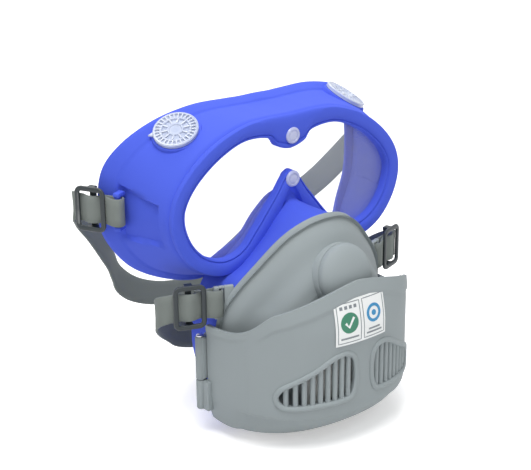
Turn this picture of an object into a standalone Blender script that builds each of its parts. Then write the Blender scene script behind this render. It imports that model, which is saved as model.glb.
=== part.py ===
"""Goggle and half-mask respirator with a hinged filter cover.

Metres, +Z up. X runs to the right as the wearer's front is looked at, the mask faces -Y, and the
origin lies on the flat of the chin, straight below the plane of the lens.
"""

import math

import bmesh
import bpy
import numpy as np
from mathutils import Matrix, Vector

MM = 0.001

# Clearances
GAP = 0.3 * MM               # between pieces that touch
RUNNING = 0.4 * MM           # round a pin, a slide or a web that moves

# Goggle half
LENS_HALF_WIDTH = 69 * MM
LENS_TOP = 158.4 * MM        # height of the top edge of the lens opening
LENS_BOTTOM = 97.2 * MM      # height of the lowest edge of each eye lobe
NOSE_TOP = 137.5 * MM        # height of the opening over the nose
BROW_DIP = 9 * MM            # how far the brow tab hangs into the opening
RIM_BAND = 9 * MM            # width of the bead round the opening
RIM_CROWN = 3 * MM           # how far the bead stands out in front
FRAME_WALL = 2.4 * MM
FRAME_DEPTH = 48 * MM        # lens plane to the temple edge of the face seal
SEAL_LIP = 7 * MM            # inward turn of the face seal
LIP_FLARE = 2 * MM           # how far the seal edge stands out from the wall
LENS_THICKNESS = 1.5 * MM
LENS_OVERLAP = 3 * MM        # lens tucked behind the bead all round
RIVET_RADIUS = 4.5 * MM
RIVET_HEAD = 1.2 * MM
RIVET_SHANK = 1.6 * MM
RIVET_BROW_DROP = 1.6 * MM   # upper rivet below the top edge of the opening
RIVET_NOSE_DROP = 4.6 * MM   # lower rivet below the top of the nose bead

# Vents in the brow wall
VENT_RADIUS = 12.3 * MM
VENT_HEAD = 2.2 * MM
VENT_HOLE = 7.5 * MM
VENT_BASE_RADIUS = 10 * MM
VENT_BASE = 1.6 * MM

# Half mask
CUP_WALL = 2.2 * MM
BODY_WALL = 2 * MM
MASK_HALF_WIDTH = 56 * MM
BODY_TOP = 119.6 * MM
BODY_FRONT = 44 * MM         # how far the body stands in front of the lens plane
SEAL_REACH = 33 * MM         # how far the chin runs behind the lens plane
CHIN_SINK = 1.2 * MM         # chin wall trimmed off by the flat it stands on
FOOT_HALF_WIDTH = 26 * MM

# Valves
PORT_RADIUS = 15 * MM
PORT_HEIGHT = 46 * MM
FLAP_THICKNESS = 0.8 * MM
SEAT_THICKNESS = 2 * MM
SEAT_BEAD = 2.6 * MM
INHALE_TRAVEL = 2 * MM
EXHALE_TRAVEL = 1.5 * MM
DOME_RADIUS = 17 * MM
DOME_HEIGHT = 7 * MM
DOME_WALL = 1.6 * MM
EXHALE_RADIUS = 10 * MM
EXHALE_HEIGHT = 90 * MM
EXHALE_TILT = math.radians(15)

# Filter cover
COVER_HALF_WIDTH = 59.5 * MM
COVER_DEPTH = 62 * MM
COVER_WALL = 2.2 * MM
COVER_BACK = 3 * MM          # rear edges lie this far in front of the lens plane
COVER_TOP = 91.5 * MM        # top edge at the middle
COVER_FALL = 18.5 * MM       # lower than that at the sides, before the corner is rounded
COVER_CORNER_DROP = 8.5 * MM
COVER_BOTTOM = 4.5 * MM
COVER_CORNER_BOTTOM = 9 * MM
COVER_TUCK = 16 * MM         # how far the bottom edge turns in
COVER_LEAN = 7 * MM          # how far the top edge leans back
COVER_CORNER_START = 53 * MM
COVER_CORNER_END = 57.6 * MM
COVER_SQUARENESS = 2.28      # exponent of the plan curve: 2 is an ellipse
SLOT_COUNT = 10
SLOT_WIDTH = 2.2 * MM
SLOT_PITCH = 4 * MM
SLOT_START = 8 * MM          # first slot from the middle of the cover
SLOT_BOTTOM = 29.5 * MM
SLOT_TOP = 54 * MM             # height of the first slot
SLOT_TIP = 37 * MM           # height of the last slot
PAD_HALF_WIDTH = 30 * MM
PAD_HEIGHT = 50 * MM
PAD_THICKNESS = 5 * MM
GRID_THICKNESS = 1.6 * MM
GRID_BAR = 2 * MM

# Hinge
HINGE_OUT = 1.3 * MM         # pin outside the cover's widest place
HINGE_X = -(COVER_HALF_WIDTH + HINGE_OUT)
HINGE_Y = 0.6 * MM
HINGE_BOTTOM = 15 * MM
HINGE_SPLIT = 32 * MM
HINGE_TOP = 57 * MM
KNUCKLE_RADIUS = 2.6 * MM
PIN_RADIUS = 1.1 * MM
LEAF_THICKNESS = 1.7 * MM
CATCH_TRIM = 5 * MM          # the catch on the right is this much shorter at each end

# Webbing and its buckles
WEB_WIDTH = 15 * MM
WEB_THICKNESS = 1.3 * MM
BUCKLE_LENGTH = 18 * MM
BUCKLE_HEIGHT = 24.5 * MM
BUCKLE_BAR = 3 * MM
BUCKLE_RAIL = 2.6 * MM
BUCKLE_PLATE = 1.8 * MM

# Places shared by pieces that meet
RIVET_SEAT = 2.2 * MM        # flat under a rivet head, in front of the lens plane
LENS_FRONT = 2.7 * MM        # front face of the lens, behind the lens plane
VENT_ROWS = (5, 6)           # rings of the frame's wall on each side of a vent
VENT_STATION = 4             # outline point above which a vent sits
VENT_BOSS = 4.2 * MM
VENT_RISE = 0.6 * MM
PORT_DEPTH = 40.3 * MM       # outer face of the body at the inhalation port
SOCKET_FRONT = 44.6 * MM     # front edge of the ledge round the filter
LABEL_LEFT = -18.5 * MM
LABEL_RIGHT = 14.5 * MM
LABEL_BOTTOM = 60 * MM
LABEL_TOP = 83.5 * MM
LABEL_THICKNESS = 0.4 * MM
LEAF_SET_IN = 0.9 * MM       # outer face of a leaf inside the cover's inner face
LEAF_FRONT = 9 * MM          # front edge of a leaf, in front of the lens plane
LEAF_REAR = 3.2 * MM
BLOCK_REAR = 2.9 * MM
LUG_THICKNESS = 2.6 * MM
LUG_MARGIN = 1.5 * MM        # lug beside the web, at each edge
TAB_TRIM = 3 * MM            # thumb tab above the lower end of the hinge
TAB_OUT = 2.5 * MM

# Strap anchors: where the straight start of a web begins, and which way it runs on the right side
TEMPLE_ANCHOR = (88.6 * MM, 34 * MM, 124 * MM)
TEMPLE_HEADING = (0.47, 0.88)
TEMPLE_BUCKLE_AT = 13.5 * MM
MASK_ANCHOR = (57.5 * MM, -8 * MM, 78 * MM)
MASK_HEADING = (0.942, 0.336)
CHEEK_BUCKLE_AT = 13.2 * MM
ANCHOR_BAR = 1.6 * MM
ANCHOR_REACH = 4.8 * MM
LUG_REACH = 9 * MM

# Routes of the hanging straps behind the mask, in millimetres, left to right
GOGGLE_STRAP_ROUTE = (
    (-98.2, 58.5, 123), (-92.5, 64.5, 116.5), (-83.8, 69.5, 105.9), (-74, 76.2, 93.2),
    (-64.1, 84, 79.6), (-55.8, 93, 67.5), (-46.7, 102, 54.3), (-31.7, 110, 41.5),
    (-12, 114.5, 32.5), (8, 115.7, 29.5), (25, 115, 33), (42, 111, 46), (62, 104, 63),
    (80, 94, 80), (91, 82, 95), (97, 70, 110), (99, 60, 121))
MASK_STRAP_ROUTE = (
    (-80.5, 5, 75.5), (-78.5, 14, 70), (-70, 25, 60), (-56, 38, 48), (-38, 52, 34),
    (-14, 62, 24), (14, 63, 22), (38, 55, 34), (60, 40, 50), (74, 26, 62), (81, 14, 71),
    (81, 5, 75.5))

RING_STEPS = 2               # stretches between two outline points of the goggle half
MASK_STEPS = 3               # and of the half mask
AXIS_Y = Vector((0, 1, 0))


# ---------------------------------------------------------------- scene, materials and helpers

def clear_scene():
    for obj in list(bpy.data.objects):
        bpy.data.objects.remove(obj, do_unlink=True)


def new_collection(name):
    made = bpy.data.collections.new(name)
    bpy.context.scene.collection.children.link(made)
    return made


def material(name, colour, roughness, alpha=1.0):
    made = bpy.data.materials.new(name)
    made.use_nodes = True
    shader = made.node_tree.nodes["Principled BSDF"]
    shader.inputs["Base Color"].default_value = (*colour, 1)
    shader.inputs["Roughness"].default_value = roughness
    shader.inputs["Metallic"].default_value = 0
    shader.inputs["Alpha"].default_value = alpha
    return made


def add_object(name, mesh, finish=None, helper=False):
    made = bpy.data.objects.new(name, mesh)
    (CUTTERS if helper else MODEL).objects.link(made)
    if helper:
        made.hide_render = True
        made.display_type = "WIRE"
    if finish:
        mesh.materials.append(finish)
    mesh.shade_smooth()
    mesh.set_sharp_from_angle(angle=math.radians(35))
    return made


def mesh_from(name, work):
    mesh = bpy.data.meshes.new(name)
    work.to_mesh(mesh)
    work.free()
    return mesh


def placing(origin, normal, up=(0, 0, 1)):
    """Matrix whose local Z is the normal and whose local Y lies as near to up as it can."""
    z = Vector(normal).normalized()
    x = Vector(up).cross(z).normalized()
    y = z.cross(x)
    turn = Matrix((x, y, z)).transposed().to_4x4()
    return Matrix.Translation(Vector(origin)) @ turn


def cylinder(radius, low, high, sides=24, place=None):
    """Bmesh of a cylinder along local Z from low to high."""
    work = bmesh.new()
    bmesh.ops.create_cone(work, cap_ends=True, segments=sides, radius1=radius,
                          radius2=radius, depth=high - low)
    bmesh.ops.translate(work, verts=work.verts, vec=(0, 0, (low + high) / 2))
    if place:
        bmesh.ops.transform(work, matrix=place, verts=work.verts)
    return work


def box(low, high, place=None):
    work = bmesh.new()
    bmesh.ops.create_cube(work, size=1)
    low, high = Vector(low), Vector(high)
    bmesh.ops.scale(work, vec=high - low, verts=work.verts)
    bmesh.ops.translate(work, vec=(low + high) / 2, verts=work.verts)
    if place:
        bmesh.ops.transform(work, matrix=place, verts=work.verts)
    return work


def helper_object(name, work):
    return add_object(name, mesh_from(name, work), helper=True)


def combine(target, tool, operation, solver="EXACT"):
    step = target.modifiers.new(operation.title() + " " + tool.name, "BOOLEAN")
    step.operation = operation
    step.object = tool
    step.solver = solver


def cut(target, name, work, solver="EXACT"):
    combine(target, helper_object(name, work), "DIFFERENCE", solver)


def join(target, name, work, solver="EXACT"):
    combine(target, helper_object(name, work), "UNION", solver)


def thicken(obj, wall):
    """Wall on the inner side of an open surface; a negative wall goes outwards."""
    step = obj.modifiers.new("Wall", "SOLIDIFY")
    step.thickness = abs(wall)
    step.offset = -1 if wall > 0 else 1
    step.use_even_offset = True
    step.use_rim = True


def empty_at(name, point):
    pivot = bpy.data.objects.new(name, None)
    pivot.location = point
    pivot.empty_display_size = 0.01
    MODEL.objects.link(pivot)
    return pivot


def hang_on(obj, pivot):
    """Makes the pivot the parent, with the piece left where it is."""
    obj.parent = pivot
    obj.matrix_parent_inverse = Matrix.Translation(pivot.location).inverted()


def spline(points, steps):
    """Catmull-Rom curve through the points, which end on the mirror plane x = 0."""
    pts = [np.array(p, float) for p in points]
    flip = np.array((-1, 1, 1), float)
    pts = [pts[1] * flip] + pts + [pts[-2] * flip]
    out = []
    for i in range(1, len(pts) - 2):
        a, b, c, d = pts[i - 1:i + 3]
        for k in range(steps):
            t = k / steps
            out.append(0.5 * (2 * b + (c - a) * t + (2 * a - 5 * b + 4 * c - d) * t * t
                              + (3 * b - a - 3 * c + d) * t ** 3))
    out.append(pts[-2])
    return np.array(out)


def whole_ring(half):
    """Closed ring from a half outline that starts and ends on the mirror plane."""
    mirrored = half[-2:0:-1] * (-1, 1, 1)
    return np.vstack((half, mirrored))


def outline_normals(ring):
    """Unit vectors in the XZ plane that point out of a closed ring."""
    along = np.roll(ring, -1, axis=0) - np.roll(ring, 1, axis=0)
    out = np.stack((-along[:, 2], np.zeros(len(ring)), along[:, 0]), axis=1)
    out /= np.linalg.norm(out, axis=1)[:, None]
    return out


def loft(name, rings, finish=None, helper=False):
    """Open surface through closed rings of equal length, facing away from its middle."""
    work = bmesh.new()
    rows = [[work.verts.new(p) for p in ring] for ring in rings]
    count = len(rings[0])
    for low, high in zip(rows, rows[1:]):
        for i in range(count):
            j = (i + 1) % count
            work.faces.new((low[i], low[j], high[j], high[i]))
    work.normal_update()
    centre = Vector(np.mean(np.vstack(rings), axis=0))
    sideways = Vector((1, 0, 1))
    outward = sum(f.normal.dot((f.calc_center_median() - centre) * sideways) for f in work.faces)
    if outward < 0:
        bmesh.ops.reverse_faces(work, faces=work.faces)
    return add_object(name, mesh_from(name, work), finish, helper)


def ring_surface_normals(rings):
    """Outward normals at each point of a stack of rings, from its neighbours in the grid."""
    grid = np.array(rings)
    around = np.roll(grid, -1, axis=1) - np.roll(grid, 1, axis=1)
    across = np.gradient(grid, axis=0)
    normals = np.cross(across, around)
    normals /= np.linalg.norm(normals, axis=2)[:, :, None]
    from_axis = (grid - grid.mean(axis=(0, 1))) * (1, 0, 1)
    return normals * np.sign((normals * from_axis).sum())


# ---------------------------------------------------------------- outlines of the goggle half

def eye_point(share_x, share_z):
    """Point of the opening from shares of its half width and of its lobe height."""
    return (share_x * LENS_HALF_WIDTH, 0, LENS_BOTTOM + share_z * (LENS_TOP - LENS_BOTTOM))


def opening_outline():
    """Half outline of the lens opening, from the brow tab round the eye lobe to the nose."""
    lobe = [eye_point(*share) for share in (
        (0.44, 1.0), (0.667, 0.9), (0.865, 0.735), (0.98, 0.56), (1.0, 0.405),
        (0.94, 0.217), (0.82, 0.07), (0.65, 0.0), (0.49, 0.045), (0.355, 0.2))]
    tab = [(0, 0, LENS_TOP - BROW_DIP), (9 * MM, 0, LENS_TOP - 0.72 * BROW_DIP),
           (14.5 * MM, 0, LENS_TOP - 0.12 * BROW_DIP)]
    nose = [(12 * MM, 0, NOSE_TOP - 13 * MM), (0, 0, NOSE_TOP)]
    return tab + lobe + nose


def rim_outline():
    """Half outline of the outer edge of the bead, point for point beside the opening."""
    inner = opening_outline()
    ring = whole_ring(np.array(inner))
    normals = outline_normals(ring)[:len(inner)]
    outer = [tuple(np.array(p) + RIM_BAND * n) for p, n in zip(inner, normals)]
    top = LENS_TOP + RIM_BAND + 1 * MM
    outer[0] = (0, 0, top)
    outer[1] = (9 * MM, 0, top + 0.2 * MM)
    outer[2] = (17 * MM, 0, top + 0.3 * MM)
    outer[-2] = (7.2 * MM, 0, NOSE_TOP - 22.5 * MM)
    outer[-1] = (0, 0, NOSE_TOP - 16 * MM)
    return outer


def seal_outline():
    """Half outline of the rear edge of the goggle frame, which wraps back round the temples."""
    wide = LENS_HALF_WIDTH
    high = LENS_TOP - LENS_BOTTOM
    base = LENS_BOTTOM
    deep = FRAME_DEPTH
    shares = ((0, 0.645, 1.23), (0.145, 0.655, 1.235), (0.275, 0.665, 1.24), (0.58, 0.70, 1.233),
              (0.90, 0.75, 1.148), (1.145, 0.855, 0.975), (1.27, 0.98, 0.745),
              (1.305, 1.01, 0.44), (1.275, 1.0, 0.145), (1.095, 0.895, -0.158),
              (0.855, 0.665, -0.288), (0.62, 0.42, -0.27))
    points = [(x * wide, y * deep, base + z * high) for x, y, z in shares]
    points.append((24 * MM, 0.31 * deep, NOSE_TOP - 44 * MM))
    points.append((10.5 * MM, 0.27 * deep, NOSE_TOP - 27.5 * MM))
    points.append((0, 0.25 * deep, NOSE_TOP - 20 * MM))
    return points


def frame_rings():
    """Rings of the frame's outer face from the lens opening to the turned-in face seal."""
    opening = whole_ring(spline(opening_outline(), RING_STEPS))
    rim = whole_ring(spline(rim_outline(), RING_STEPS))
    seal = whole_ring(spline(seal_outline(), RING_STEPS))
    rim_out = outline_normals(rim)
    seal_out = outline_normals(seal)
    back = np.array((0, 1, 0))
    crown = 0.5 * (opening + rim) - back * RIM_CROWN
    wall = rim + 0.8 * (seal - rim) - seal_out * LIP_FLARE
    lip = SEAL_LIP * np.clip(np.abs(seal[:, 0]) / (30 * MM), 0.6, 1)[:, None]
    return [opening + back * 0.4 * MM,
            opening + 0.18 * (rim - opening) - back * 0.8 * RIM_CROWN,
            crown,
            rim - rim_out * 0.8 * MM - back * 0.5 * RIM_CROWN,
            rim + back * 1.6 * MM,
            rim + 0.42 * (seal - rim) - seal_out * 0.6 * LIP_FLARE,
            wall,
            seal,
            seal - seal_out * lip + back * 1.5 * MM]


# ---------------------------------------------------------------- outlines of the half mask

def body_edge():
    """Half outline of the body's rear edge, from the nose down to the chin."""
    wide = MASK_HALF_WIDTH
    return [(0, -28.5 * MM, BODY_TOP), (13 * MM, -27 * MM, BODY_TOP - 2.4 * MM),
            (25 * MM, -23.3 * MM, BODY_TOP - 9.6 * MM), (38 * MM, -18.2 * MM, BODY_TOP - 23 * MM),
            (0.86 * wide, -13.5 * MM, BODY_TOP - 35 * MM), (0.955 * wide, -9.5 * MM, 74 * MM),
            (wide, -6 * MM, 56 * MM), (0.995 * wide, -5.5 * MM, 36 * MM),
            (0.9 * wide, -7 * MM, 18 * MM), (0.57 * wide, -11 * MM, 6 * MM), (0, -14 * MM, 2.2 * MM)]


def body_shoulder():
    """Ring part way from the edge to the flat front."""
    wide = MASK_HALF_WIDTH
    return [(0, -38 * MM, BODY_TOP - 15 * MM), (10.5 * MM, -37 * MM, BODY_TOP - 17 * MM),
            (20 * MM, -34.5 * MM, BODY_TOP - 22.5 * MM), (29 * MM, -31.5 * MM, BODY_TOP - 31 * MM),
            (0.66 * wide, -28 * MM, BODY_TOP - 40 * MM), (0.79 * wide, -23.5 * MM, 70 * MM),
            (0.85 * wide, -20.5 * MM, 54 * MM), (0.84 * wide, -20 * MM, 37 * MM),
            (0.74 * wide, -21 * MM, 22 * MM), (0.46 * wide, -24 * MM, 12.5 * MM),
            (0, -26 * MM, 9.5 * MM)]


def body_plateau():
    """Ring round the flat front that carries the filter."""
    wide = MASK_HALF_WIDTH
    deep = BODY_FRONT
    return [(0, -deep, 85 * MM), (7.5 * MM, -deep, 84.5 * MM), (15 * MM, -0.99 * deep, 82.5 * MM),
            (22 * MM, -0.98 * deep, 79 * MM), (0.5 * wide, -0.96 * deep, 74 * MM),
            (0.59 * wide, -0.94 * deep, 66 * MM), (0.63 * wide, -0.925 * deep, 54 * MM),
            (0.62 * wide, -0.92 * deep, 40 * MM), (0.52 * wide, -0.915 * deep, 28 * MM),
            (0.31 * wide, -0.91 * deep, 20.5 * MM), (0, -0.91 * deep, 18 * MM)]


def port_ring(radius, depth, count):
    """Circle round the inhalation port with the same number of points as the other rings."""
    turn = np.linspace(0, 2 * math.pi, count, endpoint=False)
    return np.stack((radius * np.sin(turn), np.full(count, -depth),
                     PORT_HEIGHT + radius * np.cos(turn)), axis=1)


def body_rings():
    edge = whole_ring(spline(body_edge(), MASK_STEPS))
    shoulder = whole_ring(spline(body_shoulder(), MASK_STEPS))
    plateau = whole_ring(spline(body_plateau(), MASK_STEPS))
    port = port_ring(PORT_RADIUS, 0.915 * BODY_FRONT, len(edge))
    between = 0.5 * (edge + shoulder)
    between[:, 1] -= 1.2 * MM
    upper = 0.5 * (shoulder + plateau)
    upper[:, 1] -= 2 * MM
    return [port, plateau, upper, shoulder, between, edge]


def cup_edge():
    """Half outline of the cup's rear edge: inside the frame's wall above, free below."""
    wide = MASK_HALF_WIDTH
    return [(0, 4 * MM, NOSE_TOP - 15.6 * MM), (9.2 * MM, 4 * MM, NOSE_TOP - 22.3 * MM),
            (20 * MM, 4 * MM, NOSE_TOP - 35.6 * MM), (34.5 * MM, 6 * MM, NOSE_TOP - 47.7 * MM),
            (47 * MM, 10 * MM, LENS_BOTTOM - 10.3 * MM), (0.9 * wide, 15 * MM, 74 * MM),
            (0.9 * wide, 21 * MM, 56 * MM), (0.855 * wide, 24.5 * MM, 38 * MM),
            (0.72 * wide, 0.83 * SEAL_REACH, 19 * MM), (FOOT_HALF_WIDTH, 0.94 * SEAL_REACH, 2 * MM),
            (0, SEAL_REACH, -CHIN_SINK)]


def cup_rings():
    """Rings of the cup's outer face, tucked under the body in front."""
    covered = body_rings()[3:]
    normals = ring_surface_normals(body_rings())[3:]
    under = [ring - normal * (BODY_WALL + GAP) for ring, normal in zip(covered, normals)]
    rear = whole_ring(spline(cup_edge(), MASK_STEPS))
    near, middle = 0.88 * under[-1] + 0.12 * rear, 0.5 * (under[-1] + rear)
    for ring in (near, middle):
        flat = np.clip((20 * MM - ring[:, 2]) / (14 * MM), 0, 1)
        ring[:, 2] = (1 - flat) * ring[:, 2] - flat * CHIN_SINK
    return [under[-2], under[-1], near, middle, rear]


# ---------------------------------------------------------------- turned pieces

def turned(name, profile, place, finish, steps=24):
    """Solid of revolution about local Z. The profile is (radius, height) down its outer side."""
    mesh = bpy.data.meshes.new(name)
    points = [(r, 0, h) for r, h in profile]
    edges = [(i, i + 1) for i in range(len(points) - 1)]
    if profile[0][0] > 0:
        edges.append((len(points) - 1, 0))
    mesh.from_pydata(points, edges, [])
    obj = add_object(name, mesh, finish)
    obj.matrix_world = place
    screw = obj.modifiers.new("Turn", "SCREW")
    screw.axis = "Z"
    screw.steps = steps
    screw.render_steps = steps
    screw.use_merge_vertices = True
    screw.merge_threshold = 0.01 * MM
    return obj


def merged(parts):
    """One bmesh that holds several separate solids."""
    whole = bmesh.new()
    for part in parts:
        mesh = mesh_from("part", part)
        whole.from_mesh(mesh)
        bpy.data.meshes.remove(mesh)
    return whole


# ---------------------------------------------------------------- places that pieces share

def rivet_places():
    """Matrices of the brow and nose rivets: local Z points out of the front."""
    heights = {"upper": LENS_TOP - RIVET_BROW_DROP, "lower": NOSE_TOP - RIVET_NOSE_DROP}
    return {name: placing((0, -RIVET_SEAT, z), -AXIS_Y) for name, z in heights.items()}


def vent_place(side):
    """Matrix of a vent on the brow wall: local Z is the wall's normal. side is -1 or 1."""
    rings = frame_rings()
    normals = ring_surface_normals(rings)
    first, second = VENT_ROWS
    spot = VENT_STATION * RING_STEPS
    point = Vector(0.5 * (rings[first][spot] + rings[second][spot]))
    normal = Vector(normals[first][spot] + normals[second][spot])
    point.x *= side
    normal.x *= side
    return placing(point, normal, (0, 1, 0))


def exhale_place():
    """Matrix of the exhalation valve: local Z points out of the mask, tilted up."""
    normal = (0, -math.cos(EXHALE_TILT), math.sin(EXHALE_TILT))
    return placing((0, -BODY_FRONT, EXHALE_HEIGHT), normal)


def inhale_place():
    """Matrix of the inhalation valve on the flat front: local Z points out of the mask."""
    return placing((0, -PORT_DEPTH, PORT_HEIGHT), -AXIS_Y)


def web_place(anchor, heading, side, along):
    """Matrix on the straight start of a web: local X runs along it, local Z points outwards."""
    x = Vector((side * heading[0], heading[1], 0)).normalized()
    z = Vector((x.y, -x.x, 0)) * side
    y = z.cross(x)
    origin = Vector((side * anchor[0], anchor[1], anchor[2])) + along * x
    turn = Matrix((x, y, z)).transposed().to_4x4()
    return Matrix.Translation(origin) @ turn


# ---------------------------------------------------------------- goggle half and cup

def build_facepiece():
    """Frame, face seal and nose cup, moulded in one."""
    frame = loft("facepiece", frame_rings(), BLUE)
    thicken(frame, FRAME_WALL)
    cup = loft("cup_shell", cup_rings(), helper=True)
    thicken(cup, CUP_WALL)
    combine(frame, cup, "UNION")
    floor = box((-0.1, -0.1, -0.02), (0.1, 0.1, 0))
    cut(frame, "floor_trim", floor)
    for name, place in rivet_places().items():
        cut(frame, "rivet_seat_" + name, cylinder(RIVET_RADIUS + GAP, 0, 8 * MM, 24, place))
        cut(frame, "rivet_hole_" + name,
            cylinder(RIVET_SHANK + RUNNING, -6 * MM, 4 * MM, 16, place))
    for side in (-1, 1):
        place = vent_place(side)
        boss = cylinder(VENT_RADIUS + MM, -VENT_BOSS, VENT_RISE, 24, place)
        join(frame, f"vent_boss_{side}", boss)
        cut(frame, f"vent_hole_{side}", cylinder(VENT_HOLE, -9 * MM, 9 * MM, 24, place))
        add_temple_anchor(frame, side)
        slot = mask_anchor_plate(side, GAP)
        cut(frame, f"lug_notch_{side}", slot)
    return frame


def add_temple_anchor(frame, side):
    """Two posts and a bar that the goggle strap is sewn round."""
    place = web_place(TEMPLE_ANCHOR, TEMPLE_HEADING, side, -(ANCHOR_BAR + GAP))
    half = WEB_WIDTH / 2 + 0.5 * MM
    bar = cylinder(ANCHOR_BAR, -half - 1.2 * MM, half + 1.2 * MM, 16,
                   place @ Matrix.Rotation(math.radians(-90), 4, "X"))
    join(frame, f"anchor_bar_{side}", bar)
    for end in (-1, 1):
        low, high = sorted((end * half, end * (half + 2.4 * MM)))
        post = box((-1.8 * MM, low, -ANCHOR_REACH), (1.8 * MM, high, 1.9 * MM), place)
        join(frame, f"anchor_post_{side}_{end}", post)


def build_lens():
    opening = whole_ring(spline(opening_outline(), RING_STEPS))
    outline = opening + outline_normals(opening) * LENS_OVERLAP
    work = bmesh.new()
    verts = [work.verts.new((p[0], LENS_FRONT, p[2])) for p in outline]
    face = work.faces.new(verts)
    work.normal_update()
    if face.normal.y > 0:
        bmesh.ops.reverse_faces(work, faces=work.faces)
    lens = add_object("lens", mesh_from("lens", work), CLEAR)
    thicken(lens, LENS_THICKNESS)
    for name, place in rivet_places().items():
        cut(lens, "lens_hole_" + name,
            cylinder(RIVET_SHANK + RUNNING, -9 * MM, 4 * MM, 16, place))
    return lens


def build_rivets():
    """Clear rivets through the bead and the lens, each with a tail that holds the lens."""
    tail = -(LENS_FRONT + LENS_THICKNESS + RIVET_SEAT + GAP)
    for name, place in rivet_places().items():
        head = GAP + RIVET_HEAD
        turned("lens_rivet_" + name,
               [(0, head), (RIVET_RADIUS - 0.6 * MM, head), (RIVET_RADIUS, head - 0.5 * MM),
                (RIVET_RADIUS, GAP), (RIVET_SHANK, GAP), (RIVET_SHANK, tail),
                (2.6 * MM, tail), (2.4 * MM, tail - 0.9 * MM), (0, tail - 0.9 * MM)],
               place, CLEAR, 24)


def build_vents():
    """Anti-fog vents: a clear cap outside, clipped into a ring inside."""
    names = {-1: "left", 1: "right"}
    for side, name in names.items():
        place = vent_place(side)
        low = VENT_RISE + GAP
        stem = VENT_HOLE - RUNNING
        foot = -VENT_BOSS - GAP - VENT_BASE
        turned("vent_cap_" + name,
               [(0, low + VENT_HEAD), (VENT_RADIUS - 1.4 * MM, low + VENT_HEAD),
                (VENT_RADIUS, low + VENT_HEAD - MM), (VENT_RADIUS, low), (stem, low),
                (stem, foot), (stem - 1.5 * MM, foot), (stem - 1.5 * MM, low - MM), (0, low - MM)],
               place, CLEAR)
        turned("vent_base_" + name,
               [(VENT_BASE_RADIUS, foot + VENT_BASE), (VENT_BASE_RADIUS, foot),
                (stem + GAP, foot), (stem + GAP, foot + VENT_BASE)], place, CLEAR)


# ---------------------------------------------------------------- grey body

def mask_anchor_plate(side, grow=0.0):
    """Lug on the body's shoulder that the mask strap is sewn to."""
    place = web_place(MASK_ANCHOR, MASK_HEADING, side, -(ANCHOR_BAR + GAP))
    half = WEB_WIDTH / 2 + LUG_MARGIN + grow
    thick = LUG_THICKNESS / 2 + grow
    return box((-LUG_REACH - grow, -half, -thick), (ANCHOR_BAR + grow, half, thick), place)


def build_body():
    body = loft("mask_body", body_rings(), GREY)
    thicken(body, BODY_WALL)
    solver = "MANIFOLD"
    place = exhale_place()
    join(body, "exhale_boss", cylinder(DOME_RADIUS + 0.6 * MM, -6 * MM, 0.6 * MM, 40, place), solver)
    cut(body, "exhale_hole", cylinder(EXHALE_RADIUS, -16 * MM, 16 * MM, 24, place), solver)
    socket = box((-PAD_HALF_WIDTH - MM, -SOCKET_FRONT, PORT_HEIGHT - PAD_HEIGHT / 2 - MM),
                 (PAD_HALF_WIDTH + MM, -PORT_DEPTH + MM, PORT_HEIGHT + PAD_HEIGHT / 2 + MM))
    join(body, "filter_socket", socket, solver)
    ledge = 2 * MM
    hollow = box((-PAD_HALF_WIDTH + ledge, -1.3 * COVER_DEPTH, PORT_HEIGHT - PAD_HEIGHT / 2 + ledge),
                 (PAD_HALF_WIDTH - ledge, -PORT_DEPTH - 0.2 * MM,
                  PORT_HEIGHT + PAD_HEIGHT / 2 - ledge))
    cut(body, "filter_hollow", hollow, solver)
    cut(body, "port", cylinder(PORT_RADIUS, -8 * MM, 8 * MM, 24, inhale_place()), solver)
    leaf_outer = COVER_HALF_WIDTH - COVER_WALL - LEAF_SET_IN
    leaf_inner = leaf_outer - LEAF_THICKNESS
    for side in (-1, 1):
        inner, outer = sorted((side * leaf_inner, side * leaf_outer))
        low = HINGE_SPLIT + RUNNING
        leaf = box((inner, -LEAF_FRONT, low), (outer, LEAF_REAR, HINGE_TOP))
        join(body, f"leaf_{side}", leaf, solver)
        edge = side * (abs(HINGE_X) + 0.5 * MM)
        inner, outer = sorted((side * (leaf_inner + GAP), edge))
        trim = GAP if side < 0 else CATCH_TRIM
        block = box((inner, -COVER_BACK + 2 * RUNNING, low + trim),
                    (outer, BLOCK_REAR, HINGE_TOP - trim))
        join(body, f"block_{side}", block, solver)
        join(body, f"strap_lug_{side}", mask_anchor_plate(side), solver)
        cut(body, f"strap_slot_{side}", strap_slot(side), solver)
    knuckle = cylinder(KNUCKLE_RADIUS, HINGE_SPLIT + RUNNING, HINGE_TOP, 24, hinge_place())
    join(body, "body_knuckle", knuckle, solver)
    cut(body, "body_pin_hole", cylinder(PIN_RADIUS + RUNNING, 0, 0.1, 16, hinge_place()), solver)
    return body


def strap_slot(side):
    """Slot in the lug that the end of the web is looped through."""
    place = web_place(MASK_ANCHOR, MASK_HEADING, side, -(ANCHOR_BAR + GAP))
    half = WEB_WIDTH / 2 + 0.3 * MM
    return box((-ANCHOR_BAR - 2.2 * MM, -half, -5 * MM), (-ANCHOR_BAR + 0.6 * MM, half, 5 * MM), place)


def hinge_place():
    return Matrix.Translation((HINGE_X, HINGE_Y, 0))


# ---------------------------------------------------------------- valves

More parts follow.
